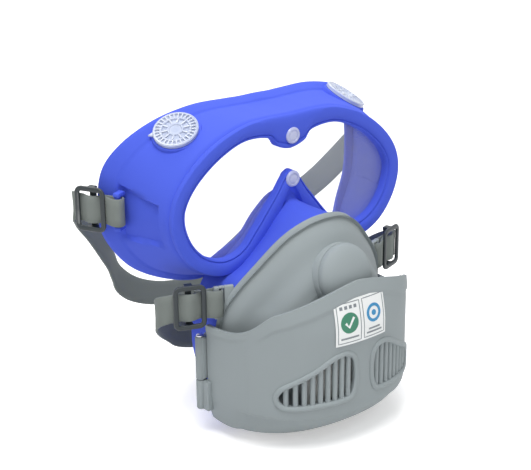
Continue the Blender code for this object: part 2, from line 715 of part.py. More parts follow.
def build_valve(name, place, radius, face, travel, outlet):
    """Spoked seat in its hole, with a clear flap on the side that the air leaves by."""
    outer = radius - GAP
    seat = turned(name + "_seat",
                  [(outer, face), (outer, face - SEAT_THICKNESS),
                   (outer - SEAT_BEAD, face - SEAT_THICKNESS), (outer - SEAT_BEAD, face)],
                  place, GREY)
    reach = outer - 0.5 * SEAT_BEAD
    for turn in (0, 90):
        low = (-reach, -0.9 * MM, face - SEAT_THICKNESS)
        spoke = box(low, (reach, 0.9 * MM, face),
                    place @ Matrix.Rotation(math.radians(turn), 4, "Z"))
        join(seat, f"{name}_spoke_{turn}", spoke)
    stop = GAP + FLAP_THICKNESS + travel + GAP
    ends = sorted((face - SEAT_THICKNESS / 2 * (1 - outlet) - outlet * 0.5 * MM,
                   face - SEAT_THICKNESS * (1 - outlet) / 2 + outlet * stop))
    join(seat, name + "_stem", cylinder(1.2 * MM, ends[0] - 0.2 * MM, ends[1], 12, place))
    head = face - SEAT_THICKNESS * (1 - outlet) / 2 + outlet * stop
    low, high = sorted((head, head + outlet * 0.8 * MM))
    join(seat, name + "_button", cylinder(2.4 * MM, low - 0.05 * MM, high + 0.05 * MM, 16, place))
    base = face - SEAT_THICKNESS * (1 - outlet) / 2 + outlet * GAP
    low, high = sorted((base, base + outlet * FLAP_THICKNESS))
    flap_radius = outer - 0.4 * MM
    return turned(name + "_flap",
                  [(flap_radius, high), (flap_radius, low), (1.2 * MM + RUNNING, low),
                   (1.2 * MM + RUNNING, high)], place, SILICONE)


def build_valves():
    inhale = inhale_place()
    build_valve("inhale", inhale, PORT_RADIUS, -0.2 * MM, INHALE_TRAVEL, -1)
    exhale = exhale_place()
    build_valve("exhale", exhale, EXHALE_RADIUS, 0.4 * MM, EXHALE_TRAVEL, 1)
    base = 0.6 * MM + GAP
    arc = [math.radians(a) for a in range(0, 91, 18)]
    outer = [(DOME_RADIUS * math.sin(a), base + MM + DOME_HEIGHT * math.cos(a)) for a in arc]
    inner = [((DOME_RADIUS - DOME_WALL) * math.sin(a),
              base + MM + (DOME_HEIGHT - DOME_WALL) * math.cos(a)) for a in arc]
    profile = outer + [(DOME_RADIUS, base), (DOME_RADIUS - DOME_WALL, base)] + inner[::-1]
    dome = turned("exhale_dome", profile, exhale, GREY)
    for x in (-8, 0, 8):
        gap = box((x * MM - 2 * MM, -0.03, base - MM), (x * MM + 2 * MM, 0, base + 3 * MM), exhale)
        cut(dome, f"dome_vent_{x}", gap)


# ---------------------------------------------------------------- filter and cover

def build_filter():
    low, high = PORT_HEIGHT - PAD_HEIGHT / 2, PORT_HEIGHT + PAD_HEIGHT / 2
    back = -SOCKET_FRONT - GAP
    front = back - GRID_THICKNESS
    grid = add_object("filter_grid", mesh_from("filter_grid", box(
        (-PAD_HALF_WIDTH, front, low), (PAD_HALF_WIDTH, back, high))), GREY)
    pitch_x = (2 * PAD_HALF_WIDTH - GRID_BAR) / 5
    pitch_z = (PAD_HEIGHT - GRID_BAR) / 4
    windows = []
    for column in range(5):
        for row in range(4):
            x = -PAD_HALF_WIDTH + GRID_BAR + column * pitch_x
            z = low + GRID_BAR + row * pitch_z
            windows.append(box((x, front - MM, z), (x + pitch_x - GRID_BAR, back + MM,
                                                    z + pitch_z - GRID_BAR)))
    cut(grid, "grid_windows", merged(windows))
    pad_back = front - GAP
    pad = add_object("filter_pad", mesh_from("filter_pad", box(
        (-PAD_HALF_WIDTH + 2 * MM, pad_back - PAD_THICKNESS, low + 3 * MM),
        (PAD_HALF_WIDTH - 2 * MM, pad_back, high - MM))), FELT)
    round_edges = pad.modifiers.new("Bevel", "BEVEL")
    round_edges.width = 1.2 * MM
    round_edges.segments = 2


def cover_top(x):
    """Height of the cover's top edge at a distance x from the middle."""
    fall = COVER_FALL * (abs(x) / COVER_HALF_WIDTH) ** 1.5
    t = (abs(x) - COVER_CORNER_START) / (COVER_CORNER_END - COVER_CORNER_START)
    t = min(1, max(0, t))
    return COVER_TOP - fall - COVER_CORNER_DROP * t * t * (3 - 2 * t)


def cover_point(angle, share):
    """Point of the cover's outer face: angle round it, share of the height at that place."""
    power = 2 / COVER_SQUARENESS
    across = math.copysign(abs(math.sin(angle)) ** power, math.sin(angle))
    ahead = abs(math.cos(angle)) ** power
    bottom = COVER_CORNER_BOTTOM + (COVER_BOTTOM - COVER_CORNER_BOTTOM) * ahead
    top = cover_top(across * COVER_HALF_WIDTH)
    z = bottom + share * (top - bottom)
    tuck = max(0, 1 - (z - bottom) / (20 * MM)) ** 2.2
    lean = max(0, (z - 67 * MM) / (28 * MM)) ** 1.5
    depth = COVER_DEPTH - COVER_TUCK * tuck - COVER_LEAN * lean
    wide = COVER_HALF_WIDTH * (1 - 0.05 * tuck)
    return (across * wide, -COVER_BACK - (depth - COVER_BACK) * ahead, z)


def build_cover():
    columns, rows = 36, 9
    work = bmesh.new()
    grid = []
    for i in range(columns + 1):
        angle = math.pi * (i / columns - 0.5)
        shares = [(k / (rows - 1)) ** 1.3 for k in range(rows)]
        grid.append([work.verts.new(cover_point(angle, share)) for share in shares])
    for i in range(columns):
        for k in range(rows - 1):
            work.faces.new((grid[i][k], grid[i + 1][k], grid[i + 1][k + 1], grid[i][k + 1]))
    work.normal_update()
    if sum(f.normal.y for f in work.faces) > 0:
        bmesh.ops.reverse_faces(work, faces=work.faces)
    cover = add_object("filter_cover", mesh_from("filter_cover", work), GREY)
    thicken(cover, COVER_WALL)
    slots = []
    for side in (-1, 1):
        for k in range(SLOT_COUNT):
            x = side * (SLOT_START + k * SLOT_PITCH)
            top = SLOT_TOP + (SLOT_TIP - SLOT_TOP) * k / (SLOT_COUNT - 1)
            slots.append(box((x - SLOT_WIDTH / 2, -0.07, SLOT_BOTTOM),
                             (x + SLOT_WIDTH / 2, -0.033, top)))
    cut(cover, "grille_slots", merged(slots))
    web = box((HINGE_X - 0.5 * MM, -2 * COVER_BACK, HINGE_BOTTOM),
              (-COVER_HALF_WIDTH + 2 * MM, HINGE_Y, HINGE_SPLIT))
    join(cover, "cover_web", web)
    knuckle = cylinder(KNUCKLE_RADIUS, HINGE_BOTTOM, HINGE_SPLIT, 24, hinge_place())
    join(cover, "cover_knuckle", knuckle)
    cut(cover, "cover_pin_hole", cylinder(PIN_RADIUS + RUNNING, 0, 0.1, 16, hinge_place()))
    tab = box((COVER_HALF_WIDTH - 2 * MM, -2 * COVER_BACK, HINGE_BOTTOM + TAB_TRIM),
              (COVER_HALF_WIDTH + TAB_OUT, -COVER_BACK, HINGE_SPLIT - 2 * MM))
    join(cover, "thumb_tab", tab)
    turned("hinge_pin", [(0, HINGE_TOP + 1.2 * MM), (2 * MM, HINGE_TOP + 1.2 * MM),
                         (2 * MM, HINGE_TOP + GAP), (PIN_RADIUS, HINGE_TOP + GAP),
                         (PIN_RADIUS, HINGE_BOTTOM + MM), (0, HINGE_BOTTOM + MM)],
           hinge_place(), STEEL, 16)
    hang_on(cover, empty_at("cover_hinge_axis", (HINGE_X, HINGE_Y, HINGE_SPLIT)))
    return cover


def build_label():
    """Thin plate that follows the front of the cover."""
    columns, rows = 6, 2
    work = bmesh.new()
    grid = []
    for i in range(columns + 1):
        x = LABEL_LEFT + (LABEL_RIGHT - LABEL_LEFT) * i / columns
        share = abs(x / COVER_HALF_WIDTH) ** COVER_SQUARENESS
        column = []
        for k in range(rows + 1):
            z = LABEL_BOTTOM + (LABEL_TOP - LABEL_BOTTOM) * k / rows
            lean = max(0, (z - 67 * MM) / (28 * MM)) ** 1.5
            depth = COVER_DEPTH - COVER_LEAN * lean - COVER_BACK
            y = -COVER_BACK - depth * (1 - share) ** (1 / COVER_SQUARENESS)
            column.append(work.verts.new((x, y - GAP, z)))
        grid.append(column)
    for i in range(columns):
        for k in range(rows):
            work.faces.new((grid[i][k], grid[i + 1][k], grid[i + 1][k + 1], grid[i][k + 1]))
    work.normal_update()
    if sum(f.normal.y for f in work.faces) > 0:
        bmesh.ops.reverse_faces(work, faces=work.faces)
    label = add_object("label", mesh_from("label", work), WHITE)
    thicken(label, -LABEL_THICKNESS)


# ---------------------------------------------------------------- straps and buckles

def web_path(points, steps):
    """Smooth open curve through the points of a strap."""
    pts = [np.array(p, float) for p in points]
    pts = [2 * pts[0] - pts[1]] + pts + [2 * pts[-1] - pts[-2]]
    out = []
    for i in range(1, len(pts) - 2):
        a, b, c, d = pts[i - 1:i + 3]
        for k in range(steps):
            t = k / steps
            out.append(0.5 * (2 * b + (c - a) * t + (2 * a - 5 * b + 4 * c - d) * t * t
                              + (3 * b - a - 3 * c + d) * t ** 3))
    out.append(pts[-2])
    return np.array(out)


def build_web(name, points):
    """Flat band whose width stays upright along its path."""
    path = web_path(points, 3)
    along = np.gradient(path, axis=0)
    along /= np.linalg.norm(along, axis=1)[:, None]
    upright = np.array((0, 0, 1)) - along * along[:, 2:3]
    upright /= np.linalg.norm(upright, axis=1)[:, None]
    work = bmesh.new()
    rows = []
    for point, up in zip(path, upright):
        rows.append([work.verts.new(point + up * WEB_WIDTH / 2 * s) for s in (-1, 1)])
    for low, high in zip(rows, rows[1:]):
        work.faces.new((low[0], high[0], high[1], low[1]))
    work.normal_update()
    web = add_object(name, mesh_from(name, work), WEBBING)
    wall = web.modifiers.new("Wall", "SOLIDIFY")
    wall.thickness = WEB_THICKNESS
    wall.offset = 0
    wall.use_even_offset = True
    return web


def web_start(anchor, heading, side, stretch):
    """Points of the straight start of a strap, from its anchor to past its buckle."""
    return [tuple(web_place(anchor, heading, side, s).translation) for s in stretch]


def build_straps():
    straight = (0, 7 * MM, 14 * MM, 21 * MM)
    left = web_start(TEMPLE_ANCHOR, TEMPLE_HEADING, -1, straight)
    right = web_start(TEMPLE_ANCHOR, TEMPLE_HEADING, 1, straight)
    loop = [tuple(c * MM for c in p) for p in GOGGLE_STRAP_ROUTE]
    build_web("goggle_strap", left + loop + right[::-1])
    straight = (0, 6.5 * MM, 13 * MM, 20 * MM)
    left = web_start(MASK_ANCHOR, MASK_HEADING, -1, straight)
    right = web_start(MASK_ANCHOR, MASK_HEADING, 1, straight)
    loop = [tuple(c * MM for c in p) for p in MASK_STRAP_ROUTE]
    build_web("mask_strap", left + loop + right[::-1])


def build_buckle(name, place):
    """Three-bar slide: the web passes under both ends and over the middle bar."""
    front = WEB_THICKNESS / 2 + GAP
    half = Vector((BUCKLE_LENGTH / 2, BUCKLE_HEIGHT / 2, 0))
    plate = box((-half.x, -half.y, front), (half.x, half.y, front + BUCKLE_PLATE), place)
    buckle = add_object(name, mesh_from(name, plate), BLACK)
    corner = buckle.modifiers.new("Bevel", "BEVEL")
    corner.width = 0.7 * MM
    corner.segments = 2
    inner = Vector((half.x - BUCKLE_BAR, half.y - BUCKLE_RAIL, 0))
    cut(buckle, name + "_window", box((-inner.x, -inner.y, front - MM),
                                      (inner.x, inner.y, front + 4 * MM), place))
    back = -WEB_THICKNESS / 2 - GAP
    for end in (-1, 1):
        low, high = sorted((end * inner.y, end * (half.y - 0.4 * MM)))
        post = box((-2.2 * MM, low, back - BUCKLE_PLATE), (2.2 * MM, high, front + 0.5 * MM), place)
        join(buckle, f"{name}_post_{end}", post)
    bar = box((-1.8 * MM, -inner.y - MM, back - BUCKLE_PLATE),
              (1.8 * MM, inner.y + MM, back), place)
    join(buckle, name + "_bar", bar)
    hang_on(buckle, empty_at(name + "_seat", place.translation))


def build_buckles():
    for side, word in ((-1, "left"), (1, "right")):
        build_buckle("temple_buckle_" + word,
                     web_place(TEMPLE_ANCHOR, TEMPLE_HEADING, side, TEMPLE_BUCKLE_AT))
        build_buckle("cheek_buckle_" + word,
                     web_place(MASK_ANCHOR, MASK_HEADING, side, CHEEK_BUCKLE_AT))


clear_scene()
MODEL = new_collection("respirator")
CUTTERS = new_collection("cutters")
CUTTERS.hide_render = True
BLUE = material("blue_pvc", (0.060, 0.105, 0.68), 0.42)
CLEAR = material("clear_plastic", (0.85, 0.88, 0.92), 0.12, 0.35)
GREY = material("grey_plastic", (0.29, 0.33, 0.34), 0.5)
SILICONE = material("clear_silicone", (0.80, 0.82, 0.82), 0.4, 0.8)
FELT = material("filter_felt", (0.80, 0.80, 0.78), 0.95)
STEEL = material("pin_steel", (0.6, 0.6, 0.62), 0.35)
WEBBING = material("grey_webbing", (0.19, 0.21, 0.20), 0.9)
BLACK = material("black_nylon", (0.035, 0.045, 0.050), 0.5)
WHITE = material("white_label", (0.85, 0.87, 0.86), 0.5)
build_facepiece()
build_lens()
build_rivets()
build_vents()
build_body()
build_valves()
build_filter()
build_cover()
build_label()
build_straps()
build_buckles()
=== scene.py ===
"""Looks of a goggle and half-mask respirator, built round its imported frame.

Shapes are worked out in millimetres, in the frame's own axes, and are scaled to metres as each
mesh is made. Every sub-assembly is a class that holds its sizes, and main builds them in order.
"""

import logging
import math
from dataclasses import dataclass, field
from enum import Enum

import bmesh
import bpy
import numpy as np
from mathutils import Matrix, Vector


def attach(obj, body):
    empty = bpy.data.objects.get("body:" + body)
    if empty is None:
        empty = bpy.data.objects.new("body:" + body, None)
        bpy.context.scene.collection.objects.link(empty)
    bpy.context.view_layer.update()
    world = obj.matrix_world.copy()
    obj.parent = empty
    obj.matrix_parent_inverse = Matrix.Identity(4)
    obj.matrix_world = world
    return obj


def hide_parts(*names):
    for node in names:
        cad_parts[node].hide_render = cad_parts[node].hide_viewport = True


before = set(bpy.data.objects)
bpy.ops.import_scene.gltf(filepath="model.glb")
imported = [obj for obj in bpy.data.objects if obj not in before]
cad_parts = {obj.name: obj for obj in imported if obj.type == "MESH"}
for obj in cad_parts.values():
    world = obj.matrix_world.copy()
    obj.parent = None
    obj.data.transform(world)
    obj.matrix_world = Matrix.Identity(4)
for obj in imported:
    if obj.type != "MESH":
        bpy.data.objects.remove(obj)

LOG = logging.getLogger("respirator")
MM = 0.001
BACK = np.array((0.0, 1.0, 0.0))
FLIP_X = np.array((-1.0, 1.0, 1.0))
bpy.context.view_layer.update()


class Side(Enum):
    """Side of the mask, by the sign of its X."""

    LEFT = -1
    RIGHT = 1

    @property
    def word(self) -> str:
        """Name used in the names of nodes and pieces."""
        return self.name.lower()


# ---------------------------------------------------------------- curves and surfaces

def mirrored_spline(half: list, steps: int) -> np.ndarray:
    """Closed smooth ring from half an outline that starts and ends on the plane x = 0.

    Args:
        half: Points of the half outline.
        steps: Stretches between two points.

    Returns:
        The ring's points, as an array of shape (count, 3).
    """
    pts = [np.array(p, float) for p in half]
    pts = [pts[1] * FLIP_X] + pts + [pts[-2] * FLIP_X]
    out = []
    for i in range(1, len(pts) - 2):
        a, b, c, d = pts[i - 1:i + 3]
        for k in range(steps):
            t = k / steps
            out.append(0.5 * (2 * b + (c - a) * t + (2 * a - 5 * b + 4 * c - d) * t * t
                              + (3 * b - a - 3 * c + d) * t ** 3))
    out.append(pts[-2])
    out = np.array(out)
    return np.vstack((out, out[-2:0:-1] * FLIP_X))


def smooth_rows(rows: list, steps: int, power: float = 0.5, closed: bool = False) -> np.ndarray:
    """Smooth curve through rows of points, with knots spaced by how far apart the rows lie.

    Args:
        rows: Arrays of the same shape; each is one row, or one point.
        steps: Stretches between two rows.
        power: 0.5 is a centripetal curve, which doesn't swing past close rows.
        closed: Whether the last row leads back to the first.

    Returns:
        All the rows, the given ones among them.
    """
    pts = [np.array(r, float) for r in rows]
    if closed:
        pts = [pts[-1]] + pts + pts[:2]
    else:
        pts = [2 * pts[0] - pts[1]] + pts + [2 * pts[-1] - pts[-2]]
    gaps = [max(float(np.mean(np.linalg.norm(np.atleast_2d(q - p), axis=-1))), 1e-6) ** power
            for p, q in zip(pts, pts[1:])]
    out = []
    for i in range(1, len(pts) - 2):
        p0, p1, p2, p3 = pts[i - 1:i + 3]
        g0, g1, g2 = gaps[i - 1:i + 2]
        m1 = g1 * ((p1 - p0) / g0 - (p2 - p0) / (g0 + g1) + (p2 - p1) / g1)
        m2 = g1 * ((p2 - p1) / g1 - (p3 - p1) / (g1 + g2) + (p3 - p2) / g2)
        for k in range(steps):
            t = k / steps
            out.append((2 * t ** 3 - 3 * t * t + 1) * p1 + (t ** 3 - 2 * t * t + t) * m1
                       + (3 * t * t - 2 * t ** 3) * p2 + (t ** 3 - t * t) * m2)
    if not closed:
        out.append(pts[-2])
    return np.array(out)


def unit(vectors: np.ndarray) -> np.ndarray:
    """The vectors at length 1."""
    return vectors / np.maximum(np.linalg.norm(vectors, axis=-1, keepdims=True), 1e-12)


def ring_out(ring: np.ndarray) -> np.ndarray:
    """Unit vectors in the XZ plane that point out of a closed ring."""
    along = np.roll(ring, -1, axis=0) - np.roll(ring, 1, axis=0)
    out = unit(np.stack((-along[:, 2], np.zeros(len(ring)), along[:, 0]), axis=1))
    spread = ((ring - ring.mean(axis=0)) * out).sum()
    return out * np.sign(spread)


def grid_normals(rows: np.ndarray) -> np.ndarray:
    """Outward normals of a stack of closed rings."""
    around = np.roll(rows, -1, axis=1) - np.roll(rows, 1, axis=1)
    across = np.gradient(rows, axis=0)
    normals = unit(np.cross(across, around))
    from_axis = (rows - rows.mean(axis=(0, 1))) * (1, 0, 1)
    return normals * np.sign((normals * from_axis).sum())


def step_up(value: np.ndarray, low: float, high: float) -> np.ndarray:
    """Smooth rise from 0 at low to 1 at high, or a fall where low is the greater."""
    t = np.clip((value - low) / (high - low), 0, 1)
    return t * t * (3 - 2 * t)


def rounded_end(outer: np.ndarray, inner: np.ndarray, before: np.ndarray) -> list:
    """Rows that close a wall with a half-round edge.

    Args:
        outer: Last row of the outer face.
        inner: Row of the inner face beside it.
        before: Row of the outer face before the last one.

    Returns:
        Three rows from the outer face to the inner one.
    """
    middle = 0.5 * (outer + inner)
    half = 0.5 * (outer - inner)
    reach = np.linalg.norm(half, axis=1, keepdims=True)
    ahead = unit(outer - before)
    return [middle + half * math.cos(a) + ahead * reach * math.sin(a)
            for a in (math.pi / 4, math.pi / 2, 3 * math.pi / 4)]


def shell_rows(outer: np.ndarray, inner: np.ndarray) -> list:
    """Rows of a closed wall: the outer face, a round edge, the inner face and a round edge."""
    far = rounded_end(outer[-1], inner[-1], outer[-2])
    near = rounded_end(outer[0], inner[0], outer[1])
    return [*outer, *far, *inner[::-1], *near[::-1]]


# ---------------------------------------------------------------- meshes and objects

def mesh_of(name: str, work: bmesh.types.BMesh, sharp: float = 40) -> bpy.types.Mesh:
    """Mesh in metres from a bmesh in millimetres, facing out, smooth but for sharp corners.

    Args:
        name: Name of the mesh.
        work: The bmesh, which is freed.
        sharp: Corners above this many degrees stay sharp.

    Returns:
        The mesh.
    """
    bmesh.ops.scale(work, vec=(MM, MM, MM), verts=work.verts)
    if work.calc_volume(signed=True) < 0:
        bmesh.ops.reverse_faces(work, faces=work.faces)
    mesh = bpy.data.meshes.new(name)
    work.to_mesh(mesh)
    work.free()
    mesh.shade_smooth()
    mesh.set_sharp_from_angle(angle=math.radians(sharp))
    return mesh


def closed_grid(rows: list, round_rows: bool = True, round_columns: bool = True,
                caps: bool = False, measure: np.ndarray | None = None) -> bmesh.types.BMesh:
    """Bmesh through rows of points.

    Args:
        rows: Rows of equal length.
        round_rows: Whether the last row joins the first.
        round_columns: Whether the last point of a row joins its first.
        caps: Whether the first and last rows are filled.
        measure: UV of each point in metres, of shape (rows, columns + 1, 2), where a UV map is
            wanted.

    Returns:
        The bmesh.
    """
    work = bmesh.new()
    verts = [[work.verts.new(p) for p in row] for row in rows]
    uv = work.loops.layers.uv.new("UVMap") if measure is not None else None
    tall, wide = len(rows), len(rows[0])
    for i in range(tall if round_rows else tall - 1):
        for k in range(wide if round_columns else wide - 1):
            down, over = (i + 1) % tall, (k + 1) % wide
            face = work.faces.new((verts[i][k], verts[i][over], verts[down][over], verts[down][k]))
            if uv is not None:
                places = ((i, k), (i, k + 1), (i + 1, k + 1), (i + 1, k))
                for loop, (row, column) in zip(face.loops, places):
                    loop[uv].uv = measure[row][column]
    if caps:
        work.faces.new(verts[0][::-1])
        work.faces.new(verts[-1])
    return work


def rounded_box(low: tuple, high: tuple, radius: float, place: Matrix | None = None,
                steps: int = 3) -> bmesh.types.BMesh:
    """Bmesh of a box with round edges, in millimetres."""
    work = bmesh.new()
    bmesh.ops.create_cube(work, size=1)
    low, high = Vector(low), Vector(high)
    bmesh.ops.scale(work, vec=high - low, verts=work.verts)
    bmesh.ops.translate(work, vec=(low + high) / 2, verts=work.verts)
    bmesh.ops.bevel(work, geom=work.edges[:], offset=radius, segments=steps, profile=0.5,
                    affect="EDGES")
    if place:
        bmesh.ops.transform(work, matrix=place, verts=work.verts)
    return work


def lathe(profile: list, place: Matrix, sides: int = 64) -> bmesh.types.BMesh:
    """Bmesh turned round local Z from (radius, height) points; ends at radius 0 are closed."""
    turn = np.linspace(0, 2 * math.pi, sides, endpoint=False)
    ring = np.stack((np.cos(turn), np.sin(turn), np.zeros(sides)), axis=1)
    rows = [ring * max(r, 1e-3) + np.array((0, 0, h)) for r, h in profile]
    solid = profile[0][0] <= 0
    work = closed_grid(rows, round_rows=not solid, caps=solid)
    bmesh.ops.transform(work, matrix=place, verts=work.verts)
    bmesh.ops.recalc_face_normals(work, faces=work.faces)
    return work


def gathered(parts: list) -> bmesh.types.BMesh:
    """One bmesh that holds all the parts."""
    whole = bmesh.new()
    for part in parts:
        mesh = bpy.data.meshes.new("part")
        part.to_mesh(mesh)
        part.free()
        whole.from_mesh(mesh)
        bpy.data.meshes.remove(mesh)
    return whole


def placing(origin: tuple, normal: tuple, up: tuple = (0, 0, 1)) -> Matrix:
    """Matrix whose local Z is the normal and whose local Y lies as near to up as it can."""
    z = Vector(normal).normalized()
    x = Vector(up).cross(z).normalized()
    y = z.cross(x)
    return Matrix.Translation(Vector(origin)) @ Matrix((x, y, z)).transposed().to_4x4()


def plain_mesh(obj: bpy.types.Object) -> bpy.types.Object:
    """The object with its modifiers made part of its mesh."""
    graph = bpy.context.evaluated_depsgraph_get()
    made = bpy.data.meshes.new_from_object(obj.evaluated_get(graph), depsgraph=graph)
    obj.modifiers.clear()
    old = obj.data
    obj.data = made
    bpy.data.meshes.remove(old)
    return obj


def add_piece(name: str, mesh: bpy.types.Mesh, finish: "Finish", body: str = "root",
              stands_for: tuple = ()) -> bpy.types.Object:
    """Adds a finished piece to the scene and has it ride on its body.

    Args:
        name: Name of the piece.
        mesh: Its mesh, in place.
        finish: Its finish; None keeps the materials that the mesh has.
        body: The body that it moves with.
        stands_for: CAD nodes that it replaces.

    Returns:
        The piece.
    """
    piece = bpy.data.objects.new(name, mesh)
    bpy.context.scene.collection.objects.link(piece)
    if finish is not None:
        mesh.materials.clear()
        mesh.materials.append(finish.material())
    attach(piece, body)
    if stands_for:
        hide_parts(*stands_for)
    LOG.info("%s: %d faces, on %s", name, len(mesh.polygons), body)
    return piece


# ---------------------------------------------------------------- finishes

class NodeGroup:
    """A node group under construction, with named inputs and outputs."""

    def __init__(self, name: str, kind: str) -> None:
        """Starts an empty group.

        Args:
            name: Name of the group.
            kind: ShaderNodeTree or GeometryNodeTree.
        """
        self.tree = bpy.data.node_groups.new(name, kind)
        self.inlet = self.tree.nodes.new("NodeGroupInput")
        self.outlet = self.tree.nodes.new("NodeGroupOutput")

    def take(self, name: str, kind: str, value: object = None) -> bpy.types.NodeSocket:
        """Adds a named input and returns the socket that gives it inside the group."""
        made = self.tree.interface.new_socket(name, in_out="INPUT", socket_type=kind)
        if value is not None:
            made.default_value = value
        return self.inlet.outputs[name]

    def give(self, name: str, kind: str, source: bpy.types.NodeSocket) -> None:
        """Adds a named output fed by the source."""
        self.tree.interface.new_socket(name, in_out="OUTPUT", socket_type=kind)
        self.tree.links.new(source, self.outlet.inputs[name])

    def add(self, kind: str, settings: dict | None = None, **feeds: object) -> bpy.types.Node:
        """Adds a node. A feed's name is the input's name, or its number after an underscore."""
        return add_node(self.tree, kind, settings, **feeds)


def add_node(tree: bpy.types.NodeTree, kind: str, settings: dict | None = None,
             **feeds: object) -> bpy.types.Node:
    """Adds a node to a tree and feeds its inputs from sockets or plain values."""
    node = tree.nodes.new(kind)
    for key, value in (settings or {}).items():
        setattr(node, key, value)
    for key, value in feeds.items():
        number = key.lstrip("_")
        socket = node.inputs[int(number) if number.isdigit() else key.replace("_", " ")]
        if isinstance(value, bpy.types.NodeSocket):
            tree.links.new(value, socket)
        else:
            socket.default_value = value
    return node


def calc(tree: bpy.types.NodeTree, operation: str, *values: object) -> bpy.types.NodeSocket:
    """Result of a Math node."""
    feeds = {f"_{i}": value for i, value in enumerate(values)}
    return add_node(tree, "ShaderNodeMath", {"operation": operation}, **feeds).outputs[0]


def blend_colours(tree: bpy.types.NodeTree, share: object, first: object,
                  second: object) -> bpy.types.NodeSocket:
    """Colour between two colours, by a share from 0 to 1."""
    mixer = add_node(tree, "ShaderNodeMix", {"data_type": "RGBA"}, _0=share, _6=first, _7=second)
    return mixer.outputs[2]


def grain_group() -> NodeGroup:
    """Fine moulded grain over slow waves: a height for bump and a mask for colour and gloss."""
    group = NodeGroup("moulded grain", "ShaderNodeTree")
    fineness = group.take("Fineness", "NodeSocketFloat", 900.0)
    cloud = group.take("Cloud", "NodeSocketFloat", 40.0)
    place = group.add("ShaderNodeTexCoord").outputs["Object"]
    fine = group.add("ShaderNodeTexNoise", None, Vector=place, Scale=fineness, Detail=3.0)
    slow = group.add("ShaderNodeTexNoise", None, Vector=place, Scale=cloud, Detail=4.0)
    height = calc(group.tree, "MULTIPLY_ADD", slow.outputs[0], 0.35, fine.outputs[0])
    group.give("Height", "NodeSocketFloat", height)
    group.give("Mask", "NodeSocketFloat", slow.outputs[0])
    return group


def wear_and_shade_group() -> NodeGroup:
    """Edges rubbed paler, and painted shade in the hollows as a darker copy of the colour, from how
    sharply the surface turns.
    """
    group = NodeGroup("handled edges", "ShaderNodeTree")
    width = group.take("Contrast", "NodeSocketFloat", 8.0)
    place = group.add("ShaderNodeTexCoord").outputs["Object"]
    point = group.add("ShaderNodeNewGeometry").outputs["Pointiness"]
    patch = group.add("ShaderNodeTexNoise", None, Vector=place, Scale=140.0, Detail=5.0).outputs[0]
    ridge = calc(group.tree, "MULTIPLY", calc(group.tree, "SUBTRACT", point, 0.52), width)
    edge = group.add("ShaderNodeClamp", None, Value=calc(group.tree, "MULTIPLY", ridge, patch))
    # Painted shade: hollows, found by low pointiness, are marked for a darker colour.
    hollow = calc(group.tree, "MULTIPLY", calc(group.tree, "SUBTRACT", 0.48, point), width)
    painted_hollow_shade = group.add("ShaderNodeClamp", None, Value=calc(group.tree, "MULTIPLY", hollow, patch))
    group.give("Edge", "NodeSocketFloat", edge.outputs[0])
    group.give("Painted shade", "NodeSocketFloat", painted_hollow_shade.outputs[0])
    return group


def weave_group() -> NodeGroup:
    """Narrow-loom weave on a UV map in metres: ribs across the web with paler picks."""
    group = NodeGroup("loom weave", "ShaderNodeTree")
    pitch = group.take("Pitch", "NodeSocketFloat", 0.0016)
    tree = group.tree
    uv = group.add("ShaderNodeTexCoord").outputs["UV"]
    split = group.add("ShaderNodeSeparateXYZ", None, Vector=uv)
    turns = calc(tree, "DIVIDE", 2 * math.pi, pitch)
    along = calc(tree, "MULTIPLY", split.outputs[0], turns)
    across = calc(tree, "MULTIPLY", split.outputs[1], turns)
    warp = calc(tree, "SINE", calc(tree, "MULTIPLY", across, 0.8))
    weft = calc(tree, "SINE", along)
    over = calc(tree, "MULTIPLY", warp, weft)
    height = calc(tree, "MULTIPLY_ADD", over, 0.5, 0.5)
    rib = calc(tree, "MULTIPLY_ADD", calc(tree, "ABSOLUTE", warp), 0.6, height)
    fuzz = group.add("ShaderNodeTexNoise", None, Vector=uv, Scale=2600.0, Detail=2.0).outputs[0]
    group.give("Height", "NodeSocketFloat", calc(tree, "MULTIPLY_ADD", fuzz, 0.5, rib))
    speck = group.add("ShaderNodeTexNoise", None, Vector=uv, Scale=520.0, Detail=1.0).outputs[0]
    lift = calc(tree, "MULTIPLY", calc(tree, "POWER", height, 2.0), 1.6)
    pale = calc(tree, "MULTIPLY", lift, calc(tree, "SUBTRACT", speck, 0.15))
    group.give("Pick", "NodeSocketFloat", group.add("ShaderNodeClamp", None, Value=pale).outputs[0])
    return group


class Groups:
    """The shared node groups, each built the first time that it is asked for."""

    made: dict = {}

    @classmethod
    def get(cls, name: str) -> bpy.types.NodeTree:
        """The node tree of that name: grain, wear_and_shade or weave."""
        if name not in cls.made:
            makers = {"grain": grain_group, "wear_and_shade": wear_and_shade_group, "weave": weave_group}
            cls.made[name] = makers[name]().tree
        return cls.made[name]


